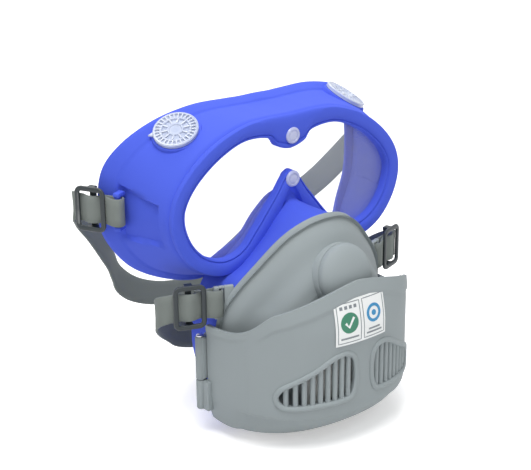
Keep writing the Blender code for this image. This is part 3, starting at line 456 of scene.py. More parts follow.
@dataclass(frozen=True)
class Finish:
    """A moulded or woven surface.

    Colours are linear. Bump heights are in millimetres.
    """

    name: str
    slot: str
    colour: tuple
    shade: tuple
    roughness: float = 0.45
    uneven: float = 0.08
    fineness: float = 900.0
    bump: float = 0.02
    # Share of paler rubbed edges, and half as much painted shade in the hollows.
    wear_and_shade: float = 0.15
    coat: float = 0.0
    sheen: float = 0.0
    metallic: float = 0.0
    alpha: float = 1.0
    woven: bool = False

    def material(self) -> bpy.types.Material:
        """The material of this finish, made once."""
        found = bpy.data.materials.get(self.name)
        return found or self.build()

    def build(self) -> bpy.types.Material:
        """Makes the material's nodes.

        Returns:
            The new material.
        """
        made = bpy.data.materials.new(self.name)
        made.use_nodes = True
        tree = made.node_tree
        shader = tree.nodes["Principled BSDF"]
        grain = add_node(tree, "ShaderNodeGroup", {"node_tree": Groups.get("grain")},
                         Fineness=self.fineness)
        tone = calc(tree, "SUBTRACT", grain.outputs["Mask"], 0.35)
        share = add_node(tree, "ShaderNodeClamp", None, Value=calc(tree, "MULTIPLY", tone, 2.2))
        colour = blend_colours(tree, share.outputs[0], (*self.colour, 1), (*self.shade, 1))
        height = grain.outputs["Height"]
        if self.woven:
            weave = add_node(tree, "ShaderNodeGroup", {"node_tree": Groups.get("weave")})
            pale = tuple(min(1.0, 3.6 * c + 0.10) for c in self.colour)
            colour = blend_colours(tree, weave.outputs["Pick"], colour, (*pale, 1))
            height = weave.outputs["Height"]
        elif self.wear_and_shade:
            wear_and_shade = add_node(tree, "ShaderNodeGroup", {"node_tree": Groups.get("wear_and_shade")})
            worn = tuple(c + (1 - c) * 0.35 for c in self.colour)
            share = calc(tree, "MULTIPLY", wear_and_shade.outputs["Edge"], self.wear_and_shade)
            colour = blend_colours(tree, share, colour, (*worn, 1))
            # Painted shade: hollows take a darker copy of the surface colour.
            painted_shade_share = calc(tree, "MULTIPLY", wear_and_shade.outputs["Painted shade"], 0.5 * self.wear_and_shade)
            painted_shade_colour = tuple(0.55 * c for c in self.colour)
            colour = blend_colours(tree, painted_shade_share, colour, (*painted_shade_colour, 1))
        tree.links.new(colour, shader.inputs["Base Color"])
        rough = calc(tree, "MULTIPLY_ADD", grain.outputs["Mask"], 2 * self.uneven,
                     self.roughness - self.uneven)
        tree.links.new(rough, shader.inputs["Roughness"])
        bump = add_node(tree, "ShaderNodeBump", None, Strength=1.0, Distance=self.bump * MM,
                        Height=height)
        tree.links.new(bump.outputs["Normal"], shader.inputs["Normal"])
        shader.inputs["Metallic"].default_value = self.metallic
        shader.inputs["Coat Weight"].default_value = self.coat
        shader.inputs["Coat Roughness"].default_value = 0.25
        shader.inputs["Sheen Weight"].default_value = self.sheen
        shader.inputs["Sheen Roughness"].default_value = 0.4
        shader.inputs["Alpha"].default_value = self.alpha
        return made


BLUE_PVC = Finish("blue_pvc", "blue_pvc", (0.088, 0.155, 0.72), (0.072, 0.130, 0.65), 0.40, 0.05,
                  1400, 0.012, 0.25, coat=0.12)
GREY_PLASTIC = Finish("grey_plastic", "grey_plastic", (0.325, 0.370, 0.378), (0.295, 0.338, 0.346),
                      0.46, 0.06, 1100, 0.014, 0.5)
DARK_PLASTIC = Finish("dark_nylon", "black_plastic", (0.022, 0.031, 0.036), (0.016, 0.023, 0.027),
                      0.42, 0.08, 1200, 0.015, 0.6)
WEBBING = Finish("grey_webbing", "grey_webbing", (0.120, 0.132, 0.124), (0.090, 0.102, 0.096),
                 0.85, 0.05, bump=0.35, wear_and_shade=0.0, sheen=0.3, woven=True)
THREAD = Finish("sewing_thread", "grey_webbing", (0.23, 0.24, 0.22), (0.17, 0.18, 0.17), 0.8, 0.05,
                2500, 0.02, 0.0)
VENT_MOULDING = Finish("vent_moulding", "clear_plastic", (0.50, 0.55, 0.68), (0.34, 0.40, 0.58),
                       0.30, 0.08, 700, 0.05, 0.8, coat=0.4)
RIVET_MOULDING = Finish("rivet_moulding", "clear_plastic", (0.46, 0.49, 0.72), (0.34, 0.38, 0.66),
                        0.32, 0.06, 900, 0.06, 0.8, coat=0.4)
LENS_SHEET = Finish("lens_sheet", "clear_lens", (0.86, 0.90, 1.0), (0.84, 0.88, 0.98), 0.12, 0.02,
                    300, 0.001, 0.0, alpha=0.1)
SILICONE = Finish("silicone", "silicone", (0.70, 0.68, 0.62), (0.64, 0.62, 0.56), 0.4, 0.05, 600,
                  0.01, 0.2)
FELT = Finish("filter_felt", "filter_felt", (0.80, 0.80, 0.78), (0.68, 0.68, 0.66), 0.95, 0.03,
              2200, 0.25, 0.0, sheen=0.4)
STEEL = Finish("pin_steel", "steel_pin", (0.58, 0.58, 0.60), (0.50, 0.50, 0.52), 0.32, 0.08, 1500,
               0.005, 0.3, metallic=1.0)
LABEL_FILM = Finish("label_film", "label_print", (0.86, 0.88, 0.88), (0.82, 0.84, 0.84), 0.35,
                    0.05, 700, 0.004, 0.1)
LABEL_GREEN = Finish("print_green", "label_print", (0.035, 0.22, 0.13), (0.03, 0.19, 0.11), 0.4,
                     0.05, 700, 0.003, 0.0)
LABEL_BLUE = Finish("print_blue", "label_print", (0.03, 0.27, 0.52), (0.025, 0.24, 0.48), 0.4,
                    0.05, 700, 0.003, 0.0)
LABEL_GREY = Finish("print_grey", "label_print", (0.22, 0.25, 0.27), (0.18, 0.2, 0.22), 0.4,
                    0.05, 700, 0.003, 0.0)


# ---------------------------------------------------------------- trees for what repeats

class Repeat:
    """Geometry Nodes trees for bars, ribs and stitches, run once and made plain meshes."""

    @staticmethod
    def start(name: str) -> NodeGroup:
        """A tree that takes and will give geometry."""
        group = NodeGroup(name, "GeometryNodeTree")
        group.tree.is_modifier = True
        group.take("Geometry", "NodeSocketGeometry")
        return group

    @staticmethod
    def finish(group: NodeGroup, instances: bpy.types.NodeSocket) -> bpy.types.NodeTree:
        """Ends a tree: the instances made real, with the finish that its input names."""
        finish = group.take("Finish", "NodeSocketMaterial")
        real = group.add("GeometryNodeRealizeInstances", None, Geometry=instances)
        dressed = group.add("GeometryNodeSetMaterial", None, Geometry=real.outputs[0],
                            Material=finish)
        group.give("Geometry", "NodeSocketGeometry", dressed.outputs[0])
        return group.tree

    @classmethod
    def bars(cls) -> bpy.types.NodeTree:
        """Round bars at points that carry the bar's own line in an attribute named reach."""
        group = cls.start("round bars")
        radius = group.take("Radius", "NodeSocketFloat", 0.0015)
        sides = group.take("Sides", "NodeSocketInt", 16)
        bar = group.add("GeometryNodeMeshCylinder", {"fill_type": "NGON"}, Vertices=sides,
                        Radius=1.0, Depth=1.0)
        reach = group.add("GeometryNodeInputNamedAttribute", {"data_type": "FLOAT_VECTOR"},
                          Name="reach").outputs[0]
        length = group.add("ShaderNodeVectorMath", {"operation": "LENGTH"}, _0=reach).outputs[1]
        size = group.add("ShaderNodeCombineXYZ", None, X=radius, Y=radius, Z=length)
        turn = group.add("FunctionNodeAlignRotationToVector", {"axis": "Z"}, Vector=reach)
        placed = group.add("GeometryNodeInstanceOnPoints", None,
                           Points=group.inlet.outputs["Geometry"], Instance=bar.outputs[0],
                           Rotation=turn.outputs[0], Scale=size.outputs[0])
        return cls.finish(group, placed.outputs[0])

    @classmethod
    def ribs(cls) -> bpy.types.NodeTree:
        """Radial ribs round the local Z axis."""
        group = cls.start("radial ribs")
        count = group.take("Count", "NodeSocketInt", 24)
        radius = group.take("Radius", "NodeSocketFloat", 0.008)
        size = group.take("Size", "NodeSocketVector", (0.004, 0.0006, 0.0006))
        height = group.take("Height", "NodeSocketFloat", 0.0)
        ring = group.add("GeometryNodeMeshCircle", None, Vertices=count, Radius=radius)
        rib = group.add("GeometryNodeMeshCube", None, Size=size)
        spot = group.add("GeometryNodeInputPosition").outputs[0]
        turn = group.add("FunctionNodeAlignRotationToVector", {"axis": "X"}, Vector=spot)
        placed = group.add("GeometryNodeInstanceOnPoints", None, Points=ring.outputs[0],
                           Instance=rib.outputs[0], Rotation=turn.outputs[0])
        lift = group.add("ShaderNodeCombineXYZ", None, Z=height)
        raised = group.add("GeometryNodeTranslateInstances", {}, Instances=placed.outputs[0],
                           Translation=lift.outputs[0])
        return cls.finish(group, raised.outputs[0])

    @classmethod
    def stitches(cls) -> bpy.types.NodeTree:
        """Stitches laid along the edges of the input mesh."""
        group = cls.start("stitches")
        pitch = group.take("Pitch", "NodeSocketFloat", 0.0018)
        size = group.take("Size", "NodeSocketVector", (0.0007, 0.00025, 0.00025))
        line = group.add("GeometryNodeMeshToCurve", None, Mesh=group.inlet.outputs["Geometry"])
        even = group.add("GeometryNodeResampleCurve", {"mode": "LENGTH"}, Curve=line.outputs[0],
                         Length=pitch)
        stitch = group.add("GeometryNodeMeshIcoSphere", None, Radius=1.0, Subdivisions=2)
        tangent = group.add("GeometryNodeInputTangent").outputs[0]
        turn = group.add("FunctionNodeAlignRotationToVector", {"axis": "X"}, Vector=tangent)
        placed = group.add("GeometryNodeInstanceOnPoints", None, Points=even.outputs[0],
                           Instance=stitch.outputs[0], Rotation=turn.outputs[0], Scale=size)
        return cls.finish(group, placed.outputs[0])

    @staticmethod
    def run(tree: bpy.types.NodeTree, start: bpy.types.Mesh, finish: Finish,
            **values: object) -> bpy.types.Mesh:
        """Runs a tree once.

        Args:
            tree: The tree.
            start: Mesh that it starts from.
            finish: Finish of what it makes.
            values: Its other inputs, by name.

        Returns:
            A plain mesh.
        """
        carrier = bpy.data.objects.new("carrier", start)
        bpy.context.scene.collection.objects.link(carrier)
        modifier = carrier.modifiers.new("Repeat", "NODES")
        modifier.node_group = tree
        places = {item.name: item.identifier for item in tree.interface.items_tree
                  if item.in_out == "INPUT"}
        modifier[places["Finish"]] = finish.material()
        for name, value in values.items():
            modifier[places[name.replace("_", " ")]] = value
        mesh = plain_mesh(carrier).data
        bpy.data.objects.remove(carrier)
        mesh.shade_smooth()
        mesh.set_sharp_from_angle(angle=math.radians(40))
        return mesh


def joined_mesh(name: str, meshes: list) -> bpy.types.Mesh:
    """One mesh from several, in metres, with their materials left behind."""
    work = bmesh.new()
    for mesh in meshes:
        work.from_mesh(mesh)
        bpy.data.meshes.remove(mesh)
    made = bpy.data.meshes.new(name)
    work.to_mesh(made)
    work.free()
    made.shade_smooth()
    made.set_sharp_from_angle(angle=math.radians(40))
    return made


def swept(points: np.ndarray, normals: np.ndarray, profile: list, closed: bool = True,
          round_profile: bool = True) -> bmesh.types.BMesh:
    """Bmesh of a profile carried along a line.

    Args:
        points: The line.
        normals: Unit vector at each point that the profile's second coordinate follows.
        profile: Points (side, height) of the profile.
        closed: Whether the line is a loop.
        round_profile: Whether the profile is a loop.

    Returns:
        The bmesh, with filled ends where the line is open.
    """
    if closed:
        along = unit(np.roll(points, -1, axis=0) - np.roll(points, 1, axis=0))
    else:
        along = unit(np.gradient(points, axis=0))
    side = unit(np.cross(along, normals))
    rows = [[p + s * a + n * b for a, b in profile] for p, s, n in zip(points, side, normals)]
    return closed_grid(rows, closed, round_profile, caps=not closed)


def round_profile(half_width: float, height: float, count: int = 12) -> list:
    """Profile of a bead with a round top that sinks a little into what carries it."""
    turn = np.linspace(-0.5, math.pi + 0.5, count)
    return [(half_width * math.cos(t), height * math.sin(t)) for t in turn]


def web_place(anchor: tuple, heading: tuple, side: int, along: float) -> Matrix:
    """Matrix on the straight start of a strap: local X along it, local Z out of the mask."""
    x = Vector((side * heading[0], heading[1], 0)).normalized()
    z = Vector((x.y, -x.x, 0)) * side
    y = z.cross(x)
    origin = Vector((side * anchor[0], anchor[1], anchor[2])) + along * x
    return Matrix.Translation(origin) @ Matrix((x, y, z)).transposed().to_4x4()


def moved(place: Matrix, point: tuple) -> np.ndarray:
    """The point, carried by the matrix."""
    return np.array(place @ Vector(point))


# ---------------------------------------------------------------- goggle half

@dataclass
class Outlines:
    """Half outlines of the goggle frame: the lens opening, the bead's rim and the face seal."""

    half_width: float = 69.0
    bottom: float = 97.2
    height: float = 61.2
    depth: float = 48.0
    band: float = 9.0
    steps: int = 10

    def opening(self) -> list:
        """Half outline of the lens opening, from the brow tab round the eye to the nose."""
        lobe = [(x * self.half_width, 0, self.bottom + z * self.height) for x, z in (
            (0.44, 1.0), (0.667, 0.9), (0.865, 0.735), (0.98, 0.56), (1.0, 0.405),
            (0.94, 0.217), (0.82, 0.07), (0.65, 0.0), (0.49, 0.045), (0.355, 0.2))]
        tab = [(0, 0, 149.4), (9, 0, 151.92), (14.5, 0, 157.32)]
        return tab + lobe + [(12, 0, 124.5), (0, 0, 137.5)]

    def rim(self) -> list:
        """Half outline of the bead's outer edge, point for point beside the opening."""
        inner = np.array(self.opening())
        ring = np.vstack((inner, inner[-2:0:-1] * FLIP_X))
        outer = list(inner + self.band * ring_out(ring)[:len(inner)])
        outer[0:3] = [(0, 0, 168.4), (9, 0, 168.6), (17, 0, 168.7)]
        outer[-2:] = [(7.2, 0, 115), (0, 0, 121.5)]
        return outer

    def seal(self) -> list:
        """Half outline of the frame's rear edge, which wraps back round the temples."""
        shares = (
            (0, 0.645, 1.23), (0.145, 0.655, 1.235), (0.275, 0.665, 1.24), (0.58, 0.70, 1.233),
            (0.90, 0.75, 1.148), (1.145, 0.855, 0.975), (1.27, 0.98, 0.745), (1.305, 1.01, 0.44),
            (1.275, 1.0, 0.145), (1.095, 0.895, -0.158), (0.855, 0.665, -0.288),
            (0.62, 0.42, -0.27))
        points = [(x * self.half_width, y * self.depth, self.bottom + z * self.height)
                  for x, y, z in shares]
        return points + [(24, 14.88, 93.5), (10.5, 12.96, 110), (0, 12, 117.5)]

    def rings(self) -> tuple:
        """Smooth rings of the opening, the rim and the seal."""
        halves = (self.opening(), self.rim(), self.seal())
        return tuple(mirrored_spline(half, self.steps) for half in halves)

    def vent_place(self, side: Side) -> Matrix:
        """Matrix of a vent on the brow wall: local Z is the wall's normal."""
        opening, rim, seal = (mirrored_spline(half, 2)
                              for half in (self.opening(), self.rim(), self.seal()))
        out = ring_out(seal)
        rows = np.array([opening, 0.5 * (opening + rim), rim,
                         rim + 0.42 * (seal - rim) - out * 1.2,
                         rim + 0.8 * (seal - rim) - out * 2.0, seal])
        normals = grid_normals(rows)
        spot = 8
        point = 0.5 * (rows[3][spot] + rows[4][spot])
        normal = normals[3][spot] + normals[4][spot]
        turn = np.array((side.value, 1, 1))
        return placing(point * turn, normal * turn, (0, 1, 0))


@dataclass
class GoggleFrame:
    """Frame of the goggle half with its bead, wall, brow lip, vent seats and strap anchors."""

    outlines: Outlines = field(default_factory=Outlines)
    wall: float = 2.4
    lip: float = 7.0
    flare: float = 2.0
    band_from: float = 0.79
    band_rise: float = 0.8
    bead: tuple = ((0, -2.5), (0, 0.6), (0.03, 1.5), (0.09, 1.95), (0.14, 1.8), (0.17, 1.2),
                   (0.20, 1.9), (0.30, 2.5), (0.50, 2.9), (0.75, 2.9), (0.92, 2.6), (0.985, 1.8),
                   (1.0, 0.9))
    wall_shares: tuple = (0.02, 0.05, 0.1, 0.16, 0.22, 0.28, 0.34, 0.40, 0.46, 0.52, 0.58, 0.64,
                          0.69, 0.735, 0.77, 0.785, 0.80, 0.815, 0.84, 0.88, 0.92, 0.96, 0.985, 1.0)
    rim_groove: float = 0.9
    peak: float = 0.8
    recess_depth: float = 2.6
    anchor: tuple = (88.6, 34.0, 124.0)
    heading: tuple = (0.47, 0.88)

    def bead_rows(self, opening: np.ndarray, rim: np.ndarray) -> list:
        """Rows of the bead round the lens, with the groove inside its inner edge."""
        span = rim - opening
        reach = np.linalg.norm(span, axis=1, keepdims=True)
        nose = (rim[:, 2:3] < 125) & (np.abs(rim[:, 0:1]) < 16)
        scale = np.where(nose, np.minimum(1, 9.4 / reach), 1.0)
        rows = []
        for share, ahead in self.bead:
            part = share if share == 1.0 else share * scale
            rows.append(opening + part * span - BACK * ahead)
        if nose.any():
            rows.insert(-1, rows[-1] * 0.6 + rows[-2] * 0.4 + BACK * 0.8 * (scale < 1))
        return rows

    def wall_rows(self, rim: np.ndarray, seal: np.ndarray, plain: bool) -> list:
        """Rows of the wall from the rim to the face seal and its turned-in lip.

        Args:
            rim: Ring of the bead's outer edge.
            seal: Ring of the rear edge.
            plain: Whether the raised band and the temple recess are left out.

        Returns:
            The rows.
        """
        out = ring_out(seal)
        rows = []
        for share in self.wall_shares:
            sink = self.flare * float(np.interp(share, (0, 0.42, 0.8, 1), (0, 0.6, 1, 0)))
            if not plain:
                sink += self.rim_groove * math.exp(-((share - 0.022) / 0.016) ** 2)
                sink -= self.band_rise * float(step_up(np.array(share), self.band_from - 0.015,
                                                       self.band_from + 0.01)
                                               * step_up(np.array(share), 1.0, 0.95))
            row = rim + share * (seal - rim) - out * sink
            if not plain:
                lift = self.peak * float(step_up(np.array(share), 0.62, 0.86))
                row[:, 2] += lift * np.exp(-(row[:, 0] / 8.0) ** 2) * (row[:, 2] > 150)
            rows.append(row)
        narrow = self.lip * np.clip(np.abs(seal[:, 0]) / 30, 0.6, 1)[:, None]
        for share in (0.12, 0.35, 0.7, 1.0):
            row = seal - out * narrow * share + BACK * 1.5 * math.sqrt(share)
            if not plain:
                lift = self.peak * np.exp(-(row[:, 0] / 8.0) ** 2) * (row[:, 2] > 150)
                row[:, 2] += lift * (1 - share)
            rows.append(row)
        return rows

    def recess(self, rows: np.ndarray, normals: np.ndarray) -> np.ndarray:
        """The rows with the shallow panel behind each temple buckle pressed in."""
        x, y, z = np.abs(rows[..., 0]), rows[..., 1], rows[..., 2]
        top = 131 + (y - 9) * 0.2
        low = 109 - (y - 9) * 0.08
        mask = step_up(y, 7.5, 9.5) * step_up(y, 37.5, 35.5) * step_up(x, 58, 64)
        mask = mask * step_up(z, low - 1, low + 1) * step_up(z, top + 1, top - 1)
        groove = np.exp(-((y - 11.5) / 1.4) ** 2) * mask
        return rows - normals * (self.recess_depth * mask + 0.6 * groove)[..., None]

    def shell(self) -> bmesh.types.BMesh:
        """Bmesh of the bead and wall as one closed skin."""
        opening, rim, seal = self.outlines.rings()
        out = ring_out(opening)
        bead = self.bead_rows(opening, rim)
        plain = np.array(self.wall_rows(rim, seal, True))
        normals = grid_normals(plain)
        outer = np.array(self.wall_rows(rim, seal, False))
        outer = self.recess(outer, normals)
        inner = plain[3:] - normals[3:] * self.wall
        top = [*bead, *outer]
        end = rounded_end(outer[-1], inner[-1], outer[-2])
        under = [rim * 0.45 + opening * 0.55 + BACK * 4.6, opening + out * 3.5 + BACK * 4.5,
                 opening + out * 3.3 + BACK * 2.6]
        return closed_grid([*top, *end, *inner[::-1], *under])

    def fittings(self) -> list:
        """Vent seats and strap anchors, moulded on."""
        parts = []
        for side in Side:
            seat = [(0, 0.7), (12.4, 0.7), (13.0, 0.4), (13.3, -0.3), (13.3, -4.2), (0, -4.2)]
            parts.append(lathe(seat, self.outlines.vent_place(side)))
            place = web_place(self.anchor, self.heading, side.value, -1.9)
            turn = place @ Matrix.Rotation(math.radians(-90), 4, "X")
            parts.append(lathe([(0, -9.2), (1.6, -9.2), (1.6, 9.2), (0, 9.2)], turn, 24))
            for low, high in ((-10.4, -8.0), (8.0, 10.4)):
                parts.append(rounded_box((-1.8, low, -4.8), (1.8, high, 1.9), 0.6, place))
        return parts

    def build(self) -> None:
        """Adds the frame."""
        whole = gathered([self.shell(), *self.fittings()])
        add_piece("goggle_frame", mesh_of("goggle_frame", whole), BLUE_PVC,
                  stands_for=("facepiece",))


@dataclass
class Lens:
    """Clear sheet behind the bead, its two rivets and the two brow vents."""

    outlines: Outlines = field(default_factory=Outlines)
    front: float = 2.7
    thickness: float = 1.5
    overlap: float = 3.0
    rivet_seat: float = 2.2
    rivet_heights: tuple = (("upper", 156.8), ("lower", 132.9))
    vent_radius: float = 12.0

    def sheet(self) -> None:
        """Adds the lens."""
        opening = self.outlines.rings()[0]
        edge = opening + ring_out(opening) * self.overlap
        front, back = edge + BACK * self.front, edge + BACK * (self.front + self.thickness)
        work = closed_grid([front, back], round_rows=False, caps=True)
        add_piece("lens_sheet", mesh_of("lens_sheet", work), LENS_SHEET, stands_for=("lens",))

    def rivets(self) -> None:
        """Adds a flat clear button on the brow and one on the nose."""
        for word, height in self.rivet_heights:
            place = placing((0, -self.rivet_seat, height), (0, -1, 0))
            profile = [(0, 1.35), (2.2, 1.35), (2.5, 1.15), (2.8, 1.15), (3.1, 1.5), (3.8, 1.5),
                       (4.3, 1.2), (4.5, 0.7), (4.5, 0.3), (1.6, 0.3), (1.6, -6.7), (2.6, -6.7),
                       (2.4, -7.6), (0, -7.6)]
            name = "rivet_" + word
            add_piece(name, mesh_of(name, lathe(profile, place, 48)), RIVET_MOULDING,
                      stands_for=("lens_rivet_" + word,))

    def vents(self) -> None:
        """Adds a ribbed cap outside and a ring inside on each side of the brow."""
        for side in Side:
            place = self.outlines.vent_place(side)
            low = 0.9
            radius = self.vent_radius
            cap = [(0, low + 1.6), (3.0, low + 1.6), (3.4, low + 2.0), (4.2, low + 2.0),
                   (4.6, low + 1.4), (7.0, low + 1.2), (7.4, low + 1.9), (8.4, low + 1.9),
                   (8.8, low + 1.2), (10.4, low + 1.2), (10.8, low + 2.0), (11.6, low + 2.1),
                   (12.1, low + 1.6), (radius, low + 0.9), (radius, low), (7.4, low),
                   (7.4, -6.1), (6.2, -6.1), (6.2, low - 1), (0, low - 1)]
            lug = [(-2.0, 10.5, low), (2.0, 10.5, low), (0.0, 14.6, low),
                   (-2.0, 10.5, low + 1.4), (2.0, 10.5, low + 1.4), (0.0, 14.6, low + 0.9)]
            point = bmesh.new()
            for spot in lug:
                point.verts.new(place @ Matrix.Rotation(-0.9 * side.value, 4, "Z") @ Vector(spot))
            bmesh.ops.convex_hull(point, input=point.verts)
            plain = mesh_of("cap", gathered([lathe(cap, place, 72), point]))
            ribs = Repeat.run(Repeat.ribs(), bpy.data.meshes.new("start"), VENT_MOULDING,
                              Count=28, Radius=0.0093, Size=(0.0034, 0.0007, 0.0011),
                              Height=(low + 1.5) * MM)
            ribs.transform(metre_place(place))
            spokes = Repeat.run(Repeat.ribs(), bpy.data.meshes.new("start"), VENT_MOULDING,
                                Count=10, Radius=0.0058, Size=(0.003, 0.0008, 0.0011),
                                Height=(low + 1.5) * MM)
            spokes.transform(metre_place(place))
            name = "vent_cap_" + side.word
            add_piece("ribbed_" + name, joined_mesh(name, [plain, ribs, spokes]), VENT_MOULDING,
                      stands_for=(name,))


def metre_place(place: Matrix) -> Matrix:
    """The matrix with its shift scaled from millimetres to metres."""
    made = place.copy()
    made.translation = place.translation * MM
    return made


# ---------------------------------------------------------------- half mask

@dataclass
class HalfMask:
    """Blue nose cup and the grey body over it, with its valve dome and strap lugs."""

    steps: int = 8
    between: int = 5
    cup_wall: float = 2.2
    body_wall: float = 2.0
    port_radius: float = 15.0
    port_front: float = -40.26
    port_height: float = 46.0
    hinge_low: float = 32.4
    hinge_high: float = 57.0
    hinge_side: float = 60.8
    hinge_rear: float = 0.6
    knuckle_radius: float = 2.6
    hinge_trim: float = 0.3
    catch_trim: float = 5.0
    lug_half: float = 9.0
    lug_thick: float = 1.3
    anchor: tuple = (57.5, -8.0, 78.0)
    heading: tuple = (0.942, 0.336)

    def edge(self) -> list:
        """Half outline of the body's rear edge, from the nose down to the chin."""
        return [(0, -28.5, 119.6), (13, -27, 117.2), (25, -23.3, 110), (38, -18.2, 96.6),
                (48.16, -13.5, 84.6), (53.48, -9.5, 74), (56, -6, 56), (55.72, -5.5, 36),
                (50.4, -7, 18), (31.92, -11, 6), (0, -14, 2.2)]

    def shoulder(self) -> list:
        """Half outline part way to the flat front."""
        return [(0, -38, 104.6), (10.5, -37, 102.6), (20, -34.5, 97.1), (29, -31.5, 88.6),
                (36.96, -28, 79.6), (44.24, -23.5, 70), (47.6, -20.5, 54), (47.04, -20, 37),
                (41.44, -21, 22), (25.76, -24, 12.5), (0, -26, 9.5)]

    def plateau(self) -> list:
        """Half outline round the flat front that carries the filter."""
        return [(0, -44, 85), (7.5, -44, 84.5), (15, -43.56, 82.5), (22, -43.12, 79),
                (28, -42.24, 74), (33.04, -41.36, 66), (35.28, -40.7, 54), (34.72, -40.48, 40),
                (29.12, -40.26, 28), (17.36, -40.04, 20.5), (0, -40.04, 18)]

    def rear(self) -> list:
        """Half outline of the cup's rear edge."""
        return [(0, 4, 121.9), (9.2, 4, 115.2), (20, 4, 101.9), (34.5, 6, 89.8), (47, 10, 86.9),
                (50.4, 15, 74), (50.4, 21, 56), (47.88, 24.5, 38), (40.32, 27.39, 19),
                (26, 31.02, 2), (0, 33, -1.2)]

    def rings(self) -> list:
        """Rings of the body from its inhalation port to its edge."""
        edge, shoulder, plateau = (mirrored_spline(half, self.steps)
                                   for half in (self.edge(), self.shoulder(), self.plateau()))
        turn = np.linspace(0, 2 * math.pi, len(edge), endpoint=False)
        port = np.stack((self.port_radius * np.sin(turn), np.full(len(edge), self.port_front),
                         self.port_height + self.port_radius * np.cos(turn)), 1)
        upper = 0.5 * (shoulder + plateau) - BACK * 2
        middle = 0.5 * (edge + shoulder) - BACK * 1.2
        return [port, plateau, upper, shoulder, middle, edge]

    def build_body(self) -> None:
        """Adds the grey body."""
        rings = self.rings()
        face = smooth_rows(rings[1:], self.between)
        fine = [face[-1] - unit(face[-1] - face[-2]) * d for d in (2.6, 2.2, 1.9)]
        outer = np.array([0.5 * (rings[0] + face[0]), *face[:-1], *fine, face[-1]])
        inner = outer - grid_normals(outer) * self.body_wall
        shell = closed_grid([rings[0], *outer, *rounded_end(outer[-1], inner[-1], outer[-2]),
                             *inner[::-1], rings[0] + BACK * self.body_wall])
        whole = gathered([shell, *self.body_fittings()])
        add_piece("mask_body_shell", mesh_of("mask_body_shell", whole, 50), GREY_PLASTIC,
                  stands_for=("mask_body",))

    def body_fittings(self) -> list:
        """Hinge leaves and blocks, knuckle, strap lugs, valve boss and filter ledge."""
        parts = []
        exhale = exhale_place()
        parts.append(lathe([(10, 0.6), (17.2, 0.6), (17.6, 0.2), (17.6, -6), (10, -6)], exhale))
        for low, high in (((-31, -44.6, 20), (31, -39.3, 22)), ((-31, -44.6, 70), (31, -39.3, 72)),
                          ((-31, -44.6, 22), (-29, -39.3, 70)), ((29, -44.6, 22), (31, -39.3, 70))):
            parts.append(rounded_box(low, high, 0.3))
        for side in Side:
            s = side.value
            trim = self.hinge_trim if s < 0 else self.catch_trim
            bottom, top = self.hinge_low, self.hinge_high
            low_x, high_x = sorted((s * 54.7, s * 56.4))
            parts.append(rounded_box((low_x, -9, bottom), (high_x, 3.2, top), 0.4))
            low_x, high_x = sorted((s * 55.0, s * 61.3))
            parts.append(rounded_box((low_x, -2.2, bottom + trim), (high_x, 2.9, top - trim), 0.7))
            parts.extend(self.strap_lug(web_place(self.anchor, self.heading, s, -1.9)))
        radius, low, high = self.knuckle_radius, self.hinge_low, self.hinge_high
        knuckle = [(0, low), (radius - 0.4, low), (radius, low + 0.5), (radius, high - 0.5),
                   (radius - 0.4, high), (0, high)]
        parts.append(lathe(knuckle, Matrix.Translation((-self.hinge_side, self.hinge_rear, 0)), 32))
        return parts

    def strap_lug(self, place: Matrix) -> list:
        """Four bars round the slot that the mask strap is sewn through.

        Args:
            place: where the strap starts, with its length along x.

        Returns:
            The bars, as meshes still to be joined.
        """
        half, thick = self.lug_half, self.lug_thick
        bars = (((-9, -half, -thick), (-3.8, half, thick)),
                ((-1.0, -half, -thick), (1.6, half, thick)),
                ((-3.9, -half, -thick), (-0.9, 1.2 - half, thick)),
                ((-3.9, half - 1.2, -thick), (-0.9, half, thick)))
        return [rounded_box(low, high, 0.5, place) for low, high in bars]

    def build_cup(self) -> None:
        """Adds the blue cup, flat where it stands."""
        rings = self.rings()
        covered = np.array(rings[3:])
        under = covered - grid_normals(np.array(rings))[3:] * 2.3
        rear = mirrored_spline(self.rear(), self.steps)
        near, middle = 0.88 * under[-1] + 0.12 * rear, 0.5 * (under[-1] + rear)
        for ring in (near, middle):
            flat = np.clip((20 - ring[:, 2]) / 14, 0, 1)
            ring[:, 2] = (1 - flat) * ring[:, 2] - flat * 1.2
        outer = smooth_rows([under[-2], under[-1], near, middle, rear], self.between)
        normals = grid_normals(outer)
        bead = outer[-2:] + normals[-2:] * np.array((0.3, 0.7))[:, None, None]
        skin = np.array([*outer[:-2], *bead])
        inner = outer - normals * self.cup_wall
        rows = [row.copy() for row in shell_rows(skin, inner)]
        for row in rows:
            row[:, 2] = np.maximum(row[:, 2], 0)
        work = closed_grid(rows)
        add_piece("nose_cup", mesh_of("nose_cup", work), BLUE_PVC)

    def build_dome(self) -> None:
        """Adds the smooth dome over the exhalation valve."""
        arc = np.radians(np.arange(0, 91, 5))
        outer = [(17 * math.sin(a), 1.9 + 7 * math.cos(a) ** 0.9) for a in arc]
        inner = [(15.4 * math.sin(a), 1.9 + 5.4 * math.cos(a)) for a in arc]
        profile = [*outer, (17.0, 0.9), (15.4, 0.9), *inner[::-1]]
        add_piece("valve_dome", mesh_of("valve_dome", lathe(profile, exhale_place(), 96)),
                  GREY_PLASTIC, stands_for=("exhale_dome",))


def exhale_place() -> Matrix:
    """Matrix of the exhalation valve, tilted up."""
    tilt = math.radians(15)
    return placing((0, -44, 90), (0, -math.cos(tilt), math.sin(tilt)))


# ---------------------------------------------------------------- filter cover

